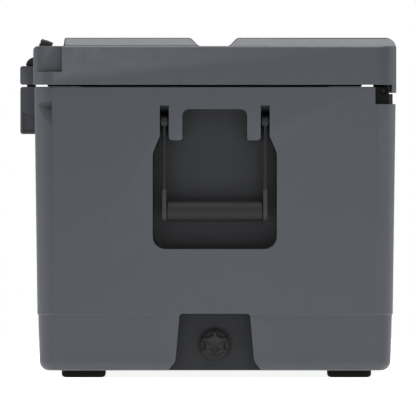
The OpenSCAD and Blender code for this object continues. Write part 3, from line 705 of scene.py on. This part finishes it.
# %% Skin the lid and add its pads
END_ROLL = 2.6
FRONT_ROLL = 5.5
BACK_ROLL = 13.0
PAD_H = 9.8
PAD_END = 25.0
PAD_SUNK = 3.5  # how far a pad reaches down into the lid, past the rolled edge
GROOVE_W = 35.4
step_z = top_z - PAD_H
pad_front = lid_front + 36
groove_y = handle_y - 1


def lid_level(turn):
    """The lid's outline part of the way up its rolled top edge, 0 at the wall and 90 on top."""
    a = math.radians(turn)
    outer = plan(lid_end, lid_front, lid_back, CORNER)
    inner = plan(lid_end - 1, lid_front + 1, lid_back - 1, CORNER - 1)
    points = []
    for p, q in zip(outer, inner):
        facing = (p - q).normalized()
        roll = END_ROLL + (FRONT_ROLL - END_ROLL) * max(0.0, -facing.y) ** 2
        spot = p + (q - p) * roll * (1 - math.cos(a))
        points.append((spot.x, spot.y, step_z - roll * (1 - math.sin(a))))
    return points


def lid_plan(inset, z):
    """The lid's outline at a height, moved in by inset."""
    return level(plan(lid_end - inset, lid_front + inset, lid_back - inset, CORNER - inset), z)


lid = skin([lid_plan(0.7, lid_z), lid_plan(0.2, lid_z + 0.2), lid_plan(0, lid_z + 0.7)]
           + [lid_level(turn) for turn in range(0, 91, 15)])

def pad(near, far, near_lean, far_lean):
    """A raised pad between two places across the lid. Its ends lean in by its height."""
    loops = []
    for share in (-PAD_SUNK / PAD_H, 1.0):
        end = lid_end - PAD_END - PAD_H * share
        front, back = near + near_lean * share, far - far_lean * share
        z = step_z + PAD_H * share
        loops.append([(end, front, z), (end, back, z), (-end, back, z), (-end, front, z)])
    return skin(loops)


front_pad = pad(pad_front, groove_y - GROOVE_W / 2, 1.0, PAD_H)
soften(front_pad, 2.2, (-lid_end, lid_front, 0), (lid_end, lid_back, top_z + 1), steps=4)
rear_pad = pad(groove_y + GROOVE_W / 2, lid_back + 8, PAD_H, 0)
soften(rear_pad, 2.2, (-lid_end, lid_front, 0), (lid_end, lid_back + 9, top_z + 1), steps=4)
back_roll = rounded([(groove_y, step_z - 8, 0), (lid_back, step_z - 8, 0), (lid_back, top_z, BACK_ROLL),
                     (groove_y, top_z, 0)], steps=10)
rear_pad = combine(rear_pad, [prism(back_roll, X, -lid_end, lid_end)], "INTERSECT")
lid = combine(lid, [front_pad, rear_pad], "UNION")
print("lid form:", len(lid.faces), "faces")

# %% [markdown]
# ## Bosses, skirt and notches of the lid
# The lid has a boss above each boss of the body, with two ears that the latch hooks over. A
# skirt along the back turns down into the rebate and hides the hinges. The front edge is
# notched behind each latch, so that fingers reach under the tab, and stepped at both corners.

# %% Add the lid's bosses and skirt, and cut its notches
LID_BOSS_H = 22.2
NOTCH_W = 66.0
NOTCH_D = 22.0
STEP_D = 10.0
STEP_W = 34.0
SKIRT_T = 5.0
HINGE_L = 90.0
LEAF_T = 3.5
boss_top = lid_z + LID_BOSS_H
notch_z = boss_top - 7.1
leaf_front = low("hinge_leaf_right", Y)
ledge_y = leaf_front - 0.3 - WALL

boss_side = rounded(slab(boss_front, lid_front + WALL, lid_z, boss_top, BOSS_EDGE))
bosses = [prism(boss_side, X, x - BOSS_W / 2, x + BOSS_W / 2) for x in (-latch_x, latch_x)]
skirt = block((-lid_end, lid_back - SKIRT_T, skirt_z), (lid_end, lid_back, lid_z + 2))
whole_lid = prism(plan(lid_end, lid_front, lid_back, CORNER), Z, skirt_z - 1, top_z)
skirt = combine(skirt, [whole_lid], "INTERSECT")
lid = combine(lid, [*bosses, skirt], "UNION")

cuts = []
for x in (-latch_x, latch_x):
    cuts.append(block((x - BOSS_SLOT_W / 2, boss_front - past, lid_z - 1),
                      (x + BOSS_SLOT_W / 2, lid_front, boss_top + 2)))
    cuts.append(block((x - NOTCH_W / 2, lid_front - 1, notch_z),
                      (x + NOTCH_W / 2, lid_front + NOTCH_D, top_z + 5), radius=4))
for side in (-1, 1):
    xs = sorted((side * (lid_end - STEP_D), side * (lid_end + past)))
    cuts.append(block((xs[0], lid_front - past, notch_z), (xs[1], lid_front + STEP_W, top_z + 5)))
    cuts.append(block((side * hinge_x - HINGE_L / 2 - 1, leaf_front - 0.3, skirt_z - 1),
                      (side * hinge_x + HINGE_L / 2 + 1, lid_back + past, lid_z + LEAF_T + 0.3)))
cuts.append(block((-STOP_L / 2 - 1, axis_y + 3.7, skirt_z - 1),
                  (STOP_L / 2 + 1, lid_back + past, axis_z + 14.6)))
pan_place = plan(lid_end - WALL, lid_front + WALL, ledge_y, CORNER - WALL, 3.0)
cuts.append(prism(pan_place, Z, lid_z - 1, lid_z + LINER_WALL))
lid = combine(lid, cuts, "DIFFERENCE")

for x in (-latch_x, latch_x):
    soften(lid, 1.0, (x - BOSS_W / 2 - 2, boss_front - 1, lid_z + 0.5),
           (x + BOSS_W / 2 + 2, lid_front - 0.5, boss_top + 1))
    soften(lid, 1.2, (x - NOTCH_W / 2 - 2, lid_front + 0.5, notch_z - 1),
           (x + NOTCH_W / 2 + 2, lid_front + NOTCH_D + 1, step_z + 1))
for side in (-1, 1):
    xs = sorted((side * (lid_end - STEP_D - 1), side * (lid_end + 1)))
    soften(lid, 1.2, (xs[0], lid_front - 1, notch_z - 1), (xs[1], lid_front + STEP_W + 1, step_z + 1))
soften(lid, 2.5, (-lid_end + PAD_END - 1, pad_front - 2, step_z - 0.2),
       (lid_end - PAD_END + 1, lid_back - BACK_ROLL, step_z + 0.2))
finish_piece("lid_moulding", lid, "lid", polyethylene,
             ("lid_shell", "lid_foam"))

# %% [markdown]
# ## The tub and the pan
# White mouldings line the inside. The tub hangs by a flange on the body's shelf, and its floor
# meets its walls in a wide cove that a cloth can follow. The pan closes the lid from below,
# with a shallow plug that dips into the tub. Both are lofts, because all their outlines are
# level and grow out of the tub's own outline.

# %% Skin the tub and cut its sump
LIP = 3.0
COVE = 18.0
tub_loops = [tub_level(LINER_WALL, tub_floor - LINER_WALL), tub_level(LINER_WALL, rim_z - LINER_WALL),
             shelf_level(WALL + GAP, rim_z - LINER_WALL), shelf_level(WALL + GAP, rim_z - 0.6),
             shelf_level(WALL + GAP + 0.6, rim_z)]
for turn in range(5):
    a = math.radians(90 * turn / 4)
    tub_loops.append(tub_level(LIP * (1 - math.sin(a)), rim_z - LIP * (1 - math.cos(a))))
for turn in range(9):
    a = math.radians(90 * turn / 8)
    tub_loops.append(tub_level(-COVE * (1 - math.cos(a)), tub_floor + COVE * (1 - math.sin(a))))
tub = skin(tub_loops)
sump_out = block((tub_end - SUMP_L - LINER_WALL, handle_y - SUMP_HALF - LINER_WALL,
                  sump_floor - LINER_WALL),
                 (tub_end + LINER_WALL, handle_y + SUMP_HALF + LINER_WALL, tub_floor - 1), radius=4)
tub = combine(tub, [sump_out], "UNION")
sump_in = block((tub_end - SUMP_L, handle_y - SUMP_HALF, sump_floor),
                (tub_end, handle_y + SUMP_HALF, tub_floor + COVE), radius=3)
tube_hole = prism(circle(handle_y, drain_z, DRAIN_TUBE_R + 0.05), X, tub_end - 2, tub_end + 9)
tub = combine(tub, [sump_in, tube_hole], "DIFFERENCE")
soften(tub, 1.5, (tub_end - SUMP_L - 1, handle_y - SUMP_HALF - 1, sump_floor - 1),
       (tub_end - 0.5, handle_y + SUMP_HALF + 1, tub_floor + 1))
finish_piece("tub_moulding", tub, "cooler_body", white_polyethylene,
             ("body_liner",))

# %% Skin the pan of the lid
PLUG_GAP = 5.0
pan_foot = low("lid_liner", Z)
pan_edge = plan(lid_end - WALL - GAP, lid_front + WALL + GAP, ledge_y - GAP, CORNER - WALL, 3.0)
pan_loops = [level(pan_edge, lid_z + LINER_WALL), level(pan_edge, lid_z + 0.3),
             tub_level(-PLUG_GAP + 2, lid_z), tub_level(-PLUG_GAP + 0.5, lid_z - 0.6),
             tub_level(-PLUG_GAP, lid_z - 2)]
for turn in range(5):
    a = math.radians(90 * turn / 4)
    pan_loops.append(tub_level(-PLUG_GAP - LIP * (1 - math.cos(a)), pan_foot + LIP * (1 - math.sin(a))))
finish_piece("pan_moulding", skin(pan_loops), "lid", white_polyethylene,
             ("lid_liner",))

# %% [markdown]
# ## The gasket
# A rubber strip runs round the pan and closes the seam. It is extruded, so its section is the
# same all the way: a flat back in the pan's groove, and two lips that press on the rim with a
# channel between them. A ring of that section follows the tub's outline.

# %% Sweep the gasket's section round the lid
GASKET_W = 9.5
outer = GASKET_OFF
inner = GASKET_OFF - GASKET_W
seat = low("lid_gasket", Z)
section = [(outer, lid_z), (outer, seat + 0.9), (outer - 0.6, seat + 0.1), (outer - 1.8, seat),
           (outer - 3.0, seat + 0.7), (inner + 3.0, seat + 0.7), (inner + 1.8, seat),
           (inner + 0.6, seat + 0.1), (inner, seat + 0.9), (inner, lid_z),
           (inner + 2.7, lid_z), (inner + 2.7, lid_z + 1.8),
           (outer - 2.7, lid_z + 1.8), (outer - 2.7, lid_z)]
gasket = skin([tub_level(off, z) for off, z in section], ring=True)
finish_piece("lid_seal_strip", gasket, "lid", epdm, ("lid_gasket",))

# %% [markdown]
# ## Rubber latches
# Each latch is one moulding of soft thermoplastic rubber: an eye round the pin, a flat neck that
# stretches, a bulge that hooks over the boss's ears, and a T-shaped tab to pull. Rubber
# mouldings have no crisp edge at all. So the shape is put together from overlapping solids,
# melted into one skin by a voxel remesh, and smoothed, which rounds inner and outer corners alike.

# %% Melt overlapping solids into one soft skin
def gather(forms):
    """One mesh that holds all the forms."""
    whole = bmesh.new()
    for form in forms:
        mesh = bpy.data.meshes.new("part")
        form.to_mesh(mesh)
        form.free()
        whole.from_mesh(mesh)
        bpy.data.meshes.remove(mesh)
    return whole


def melted(forms, cell, passes):
    """The forms as one skin with cells of that size in mm, rounded by passes of smoothing."""
    made = as_object("work", gather(forms))
    melt = made.modifiers.new("melt", "REMESH")
    melt.mode = "VOXEL"
    melt.voxel_size = cell
    rounding = made.modifiers.new("rounding", "SMOOTH")
    rounding.factor = 0.5
    rounding.iterations = passes
    return evaluated(made)


# %% Make the latches
NECK_W = 38.0
NECK_T = 5.8
LATCH_EYE_R = 6.2
BULGE_R = 11.2
TAB_T = 9.6
TAB_LEAN = 22.0
TAB_END = 15.0
TAB_SHORT = 0.4  # the melting makes up for it
RIB_STEP = 4.2
RIB_OUT = 0.9
RIB_IN = 7.0
tab_w = high("latch_right", X) - low("latch_right", X)
bulge_y = lid_front + 1.6
bulge_z = boss_top - 0.6
seat_r = math.hypot(boss_front + BOSS_EDGE - pin_y, boss_top - pin_z) + 0.3
lean = math.radians(TAB_LEAN)
tab_l = (high("latch_right", Z) - bulge_z) / math.cos(lean) - TAB_T / 2 * math.tan(lean)


def leaning(form, x):
    """A form made upright at the origin, leaning back from the bulge."""
    form.transform(Matrix.Translation((x, bulge_y, bulge_z)) @ Matrix.Rotation(-lean, 4, "X"))
    return form


def tab_part(x, half, start):
    """A plate of the tab, from that far up it to its end."""
    return leaning(block((-half, -TAB_T / 2, start), (half, TAB_T / 2, tab_l - TAB_SHORT),
                         axis=Y, radius=2.5), x)


def latch(x):
    """One latch, hooked over the boss at that place."""
    bulge = prism(circle(bulge_y, bulge_z, BULGE_R), X, x - tab_w / 2, x + tab_w / 2)
    tab = [tab_part(x, NECK_W / 2 + 3, 0), tab_part(x, tab_w / 2, tab_l - TAB_END)]
    seat = prism(circle(pin_y, pin_z, seat_r, steps=160), X, x - tab_w, x + tab_w)
    head = combine(combine(bulge, tab, "UNION"), [seat], "DIFFERENCE")
    neck = block((x - NECK_W / 2, pin_y - NECK_T / 2, pin_z),
                 (x + NECK_W / 2, pin_y + NECK_T / 2, bulge_z + BULGE_R / 2))
    eye = prism(circle(pin_y, pin_z, LATCH_EYE_R), X, x - NECK_W / 2, x + NECK_W / 2)
    ribs = []
    for k in range(3):
        up = tab_l - 3.4 - RIB_STEP * k
        ribs.append(leaning(block((-tab_w / 2 + RIB_IN, -TAB_T / 2 - RIB_OUT, up - 0.8),
                                  (tab_w / 2 - RIB_IN, -TAB_T / 2 + 1, up + 0.8)), x))
    return melted([head, neck, eye, *ribs], cell=0.7, passes=3)


for side, x in (("left", -latch_x), ("right", latch_x)):
    finish_piece(f"latch_{side}_rubber", latch(x), f"latch_{side}", latch_rubber,
                 (f"latch_{side}",), sharp=75)

# %% [markdown]
# ## Bail handles
# A bail is a stiff nylon moulding: two flat arms with an eye at the top for the pin, and a bar
# between them. A rubber foot covers each lower corner and holds the grip's end. Moulded corners
# run into each other, so bail and feet are melted like the latches, with finer cells. The grip is
# a rubber sleeve, turned from a profile with a faint swell, so that it fills the hand.

# %% Make the bails and the grips
ARM_T = 12.0
ARM_W = 4.6
BAR_R = 6.0
FOOT_W = 5.0
FOOT_UP = 27.0
SWELL = 0.35
grip_z = middle("handle_grip_right", Z)
grip_r = (high("handle_grip_right", Z) - low("handle_grip_right", Z)) / 2
grip_low = low("handle_grip_right", Y)
grip_high = high("handle_grip_right", Y)


def bail():
    """The bail of the drain end."""
    forms = [prism(circle(pivot_x, grip_z, BAR_R), Y, grip_low + 1, grip_high - 1)]
    for arm in (-1, 1):
        y = handle_y + arm * ARM_SPACING / 2
        half = SLOT_W / 2 - 1
        forms.append(prism(circle(pivot_x, pivot_z, EYE_R), Y, y - half, y + half))
        forms.append(block((pivot_x - ARM_T / 2, y - ARM_W / 2, grip_z),
                           (pivot_x + ARM_T / 2, y + ARM_W / 2, pivot_z)))
    return melted(forms, cell=0.6, passes=2)


def bail_feet():
    """The two feet that hold the grip's ends."""
    forms = []
    for arm in (-1, 1):
        y = handle_y + arm * ARM_SPACING / 2
        side = rounded([(pivot_x - grip_r, grip_z - grip_r, grip_r - 0.5),
                        (pivot_x + grip_r, grip_z - grip_r, grip_r - 0.5),
                        (pivot_x + grip_r, grip_z + grip_r, 5),
                        (pivot_x + ARM_T / 2 + 0.6, grip_z + FOOT_UP, 6),
                        (pivot_x - ARM_T / 2 - 0.6, grip_z + FOOT_UP, 6),
                        (pivot_x - grip_r, grip_z + grip_r, 5)])
        forms.append(prism(side, Y, y - FOOT_W / 2, y + FOOT_W / 2))
    return melted(forms, cell=0.5, passes=3)


def grip():
    """The rubber sleeve between the feet."""
    loops = []
    length = grip_high - grip_low
    for k in range(25):
        share = k / 24
        swell = SWELL * math.sin(math.pi * share)
        y = grip_low + length * share
        loops.append([(p.x, y, p.y) for p in circle(pivot_x, grip_z, grip_r - 0.4 + swell, 64)])
    form = skin(loops)
    soften(form, 1.4, (0, grip_low - 1, 0), (lid_end, grip_high + 1, rim_z), steps=4, sharp=60)
    return form


for name, make, material, slot, node, sharp in (
        ("bail", bail, nylon, "black_nylon", "handle_bail", 75),
        ("bail_feet", bail_feet, latch_rubber, "black_rubber", None, 75),
        ("grip", grip, grip_rubber, "black_rubber", "handle_grip", 40)):
    for side in ("right", "left"):
        form = make() if side == "right" else mirrored(make())
        finish_piece(f"{name}_{side}", form, f"handle_{side}", material,
                     (f"{node}_{side}",) if node else (), sharp)

# %% [markdown]
# ## Rubber feet
# Four rubber feet are screwed under the corners. They are moulded with a tapered edge, a well
# for the screw's head, and grooves across the tread that keep the cooler from sliding. The
# edge is a loft, and the well and the grooves are cut.

# %% Make the feet
TREAD_D = 1.2
TREAD_STEP = 7.0


def foot(node):
    """One foot, in the box that its node fills."""
    (x0, x1), (y0, y1) = [(low(node, axis), high(node, axis)) for axis in (X, Y)]
    x, y, half = (x0 + x1) / 2, (y0 + y1) / 2, (x1 - x0) / 2

    def ring(inset, z):
        outline = plan(half - inset, y0 + inset, y1 - inset, 8 - inset / 2)
        return [(p.x + x, p.y, z) for p in outline]

    loops = [ring(4.4, 0), ring(3.6, 0.3)]
    for turn in range(1, 5):
        a = math.radians(90 * turn / 4)
        loops.append(ring(3.4 * (1 - math.sin(a)), 0.4 + 4.0 * (1 - math.cos(a))))
    loops.append(ring(0, base_z))
    well = prism(circle(x, y, 4.5), Z, -1, 4.5)
    hole = prism(circle(x, y, 2.1), Z, -1, base_z + 1)
    grooves = []
    count = int((half - 8) / TREAD_STEP)
    for k in range(-count, count + 1):
        across = x + k * TREAD_STEP
        if abs(across - x) > 6:
            grooves.append(block((across - 0.8, y0 - 1, -1), (across + 0.8, y1 + 1, TREAD_D)))
    return combine(skin(loops), [well, hole, *grooves], "DIFFERENCE")


for row in ("front", "rear"):
    for side in ("left", "right"):
        node = f"foot_{row}_{side}"
        finish_piece(f"{node}_rubber", foot(node), "cooler_body", epdm, (node,), sharp=35)

# %% [markdown]
# ## The drain plug
# The plug screws into the drain's bushing by hand. Its head is a disc with six scallops, so that
# wet fingers can turn it, and a raised star that follows them. The star is a smooth wavy outline.
# The shank carries a real screw thread of 3 mm pitch: each ring of the loft swells where the
# thread passes, and the swelling turns with the height, as a thread does.

# %% Make the plug
PITCH = 3.0
THREAD_D = 0.9
SKIRT_L = 3.6
SCALLOP_R = 8.6
SCALLOP_AT = 19.5
plug_x = high("drain_plug_seal", X)
plug_end = high("drain_plug", X)
plug_r = high("drain_plug", Y) - handle_y
shank_foot = low("drain_plug", X)
shank_r = 9.8


def star(reach, x, shrink=0.0):
    """A loop with six points, as six round scallops leave it, facing the end of the box."""
    loop = []
    for k in range(144):
        a = 2 * math.pi * k / 144
        off = (a + math.pi / 6) % (math.pi / 3) - math.pi / 6
        inside = SCALLOP_R ** 2 - (SCALLOP_AT * math.sin(off)) ** 2
        radius = reach
        if inside > 0:
            radius = min(reach, SCALLOP_AT * math.cos(off) - math.sqrt(inside))
        radius -= shrink
        loop.append((x, handle_y + radius * math.cos(a), drain_z + radius * math.sin(a)))
    return loop


def disc(radius, x):
    """A round loop with as many points as the star."""
    return [(x, p.x, p.y) for p in circle(handle_y, drain_z, radius, 144)]


def plug_head():
    """Disc, scalloped star and a dished face."""
    return skin([disc(plug_r - 0.8, plug_x), disc(plug_r, plug_x + 0.8),
                 disc(plug_r, plug_x + SKIRT_L - 0.8), disc(plug_r - 0.8, plug_x + SKIRT_L),
                 star(plug_r - 0.9, plug_x + SKIRT_L), star(plug_r - 0.9, plug_end - 1.2, 0.1),
                 star(plug_r - 0.9, plug_end - 0.4, 0.4), star(plug_r - 0.9, plug_end, 1.2),
                 star(plug_r - 0.9, plug_end, 2.6), star(plug_r - 0.9, plug_end - 0.6, 3.2),
                 disc(5.2, plug_end - 1.2), disc(1.0, plug_end - 1.3)])


def plug_shank():
    """A shank with one thread that winds round it."""
    loops = []
    count = 72
    rings = round((plug_x + 1 - shank_foot) / 0.3)
    for n in range(rings + 1):
        x = shank_foot + 0.3 * n
        fade = min(1, n / 6)
        loop = []
        for k in range(count):
            a = 2 * math.pi * k / count
            phase = (x / PITCH + k / count) % 1
            ridge = max(0, 1 - abs(phase - 0.5) * 3)
            radius = shank_r - THREAD_D * (1 - min(1, 1.6 * ridge)) * fade - 1.2 * (1 - fade)
            loop.append((x, handle_y + radius * math.cos(a), drain_z + radius * math.sin(a)))
        loops.append(loop)
    return skin(loops)


plug = gather([plug_head(), plug_shank()])
finish_piece("drain_plug_moulding", plug, "plug", nylon, ("drain_plug",),
             sharp=50)

# %% [markdown]
# ## Small parts that keep their shape
# Hinges, pins, screws, the drain's bushing and its nut are right as the working model has them.
# They only need what a mould or a lathe leaves on every edge: a small round, here as a Bevel
# modifier, after a Weld that joins the model's triangles. Nothing is added on top of them.

# %% Dress the small parts
def dress(node, material, edge, sharp=35):
    """Gives a node its material and rounds its edges, without touching its mesh."""
    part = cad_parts[node]
    part.data.materials.clear()
    part.data.materials.append(material)
    joined = part.modifiers.new("joined", "WELD")
    joined.merge_threshold = 0.005 * MM
    rounding = part.modifiers.new("rounding", "BEVEL")
    rounding.width = edge * MM
    rounding.segments = 3
    rounding.limit_method = "ANGLE"
    rounding.angle_limit = math.radians(sharp)
    shading = part.modifiers.new("even_shading", "WEIGHTED_NORMAL")
    shading.keep_sharp = True


for side in ("left", "right"):
    dress(f"hinge_base_{side}", nylon, 0.9)
    dress(f"hinge_leaf_{side}", nylon, 0.7)
    dress(f"hinge_rod_{side}", blackened_along_x, 0.5)
    dress(f"latch_pin_{side}", steel_along_x, 0.4)
dress("handle_pins", blackened_along_y, 0.4)
for screws in ("hinge_base_screws", "hinge_leaf_screws", "foot_screws"):
    dress(screws, steel_along_z, 0.2)
dress("drain_fitting", nylon, 0.6)
dress("drain_washer", epdm, 0.3)
dress("drain_nut", nylon, 0.6)
dress("drain_plug_seal", epdm, 0.4)
bare = [name for name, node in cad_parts.items()
        if not node.hide_render and not any(m.type == "BEVEL" for m in node.modifiers)]
print("nodes without a finish:", bare)

# %% [markdown]
# ## Camera
# The cooler is seen from its drain end by a long lens far away, so the sides hardly converge.
# The camera stands level with the lid's seam, so that it looks through the slit, and tilts down
# by less than half a degree.

# %% Place the camera
WIDE = 0.4909  # metres across the view at the end of the box
LENS = 1690.0
EYE_HEIGHT = 0.345
AIM_HEIGHT = 0.2006
end_face = lid_end * MM
away = WIDE * LENS / 36

lens = bpy.data.cameras.new("long_lens")
lens.lens = LENS
lens.clip_end = 200
camera = bpy.data.objects.new("camera", lens)
camera.location = (end_face + away, 0, EYE_HEIGHT)
camera.rotation_euler = (math.pi / 2 - math.atan((EYE_HEIGHT - AIM_HEIGHT) / away), 0, math.pi / 2)
bpy.context.scene.collection.objects.link(camera)
bpy.context.scene.camera = camera
print("camera", round(away, 2), "m from the end")

# %% [markdown]
# ## Light and floor
# A studio shows dark plastic with large soft lights. A broad light above draws the bright lines
# along the upper edges, a weaker one beside the camera fills the end, and two at the sides keep
# the long faces from going black. The backdrop is white paper, and so is the floor.

# %% Hang the lights
def soft_light(name, place, size, power):
    """A square area light that looks at the middle of the cooler."""
    lamp = bpy.data.lights.new(name, "AREA")
    lamp.size = size
    lamp.energy = power
    made = bpy.data.objects.new(name, lamp)
    made.location = place
    made.rotation_euler = (Vector((0, 0, 0.2)) - Vector(place)).to_track_quat("-Z", "Y").to_euler()
    bpy.context.scene.collection.objects.link(made)


soft_light("top_light", (0.5, 0, 2.4), 2.0, 80)
soft_light("end_light", (3.2, 0.6, 1.5), 1.8, 14)
soft_light("front_light", (0.4, -3.0, 1.4), 1.8, 26)
soft_light("back_light", (-0.6, 3.0, 1.4), 1.8, 22)

# %% White backdrop and pale floor
def backdrop_world():
    """White paper behind the cooler, which lights it only gently."""
    world = bpy.data.worlds.new("white_backdrop")
    bpy.context.scene.world = world
    world.use_nodes = True
    tree = world.node_tree
    tree.nodes.clear()
    seen = add(tree, "ShaderNodeLightPath").outputs["Is Camera Ray"]
    strength = add(tree, "ShaderNodeMapRange", {"Value": seen, "To Min": 0.42, "To Max": 1.0})
    paper = add(tree, "ShaderNodeBackground",
                {"Color": linear("#FFFFFF"), "Strength": strength.outputs["Result"]})
    add(tree, "ShaderNodeOutputWorld", {"Surface": paper.outputs["Background"]})


def paper_floor():
    """Matt paper with a faint fibre, bright enough to meet the backdrop."""
    material, tree, place = blank_material("white_matt_paper")
    fibre = add(tree, "ShaderNodeTexNoise", {"Vector": place, "Scale": per_metre(3), "Detail": 4.0})
    bump = add(tree, "ShaderNodeBump", {"Height": fibre.outputs["Fac"], "Strength": 0.1,
                                        "Distance": 0.05 * MM})
    shader = add(tree, "ShaderNodeBsdfPrincipled",
                 {"Base Color": linear("#F4F4F3"), "Roughness": 0.9, "Normal": bump.outputs["Normal"],
                  "Specular IOR Level": 0.1, "Emission Color": linear("#FFFFFF"),
                  "Emission Strength": 0.85})
    add(tree, "ShaderNodeOutputMaterial", {"Surface": shader.outputs["BSDF"]})
    sheet = bmesh.new()
    bmesh.ops.create_grid(sheet, x_segments=4, y_segments=4, size=3.2)
    floor = as_object("floor", sheet)
    floor.data.materials.append(material)


backdrop_world()
paper_floor()
bpy.context.scene.view_settings.view_transform = "Standard"
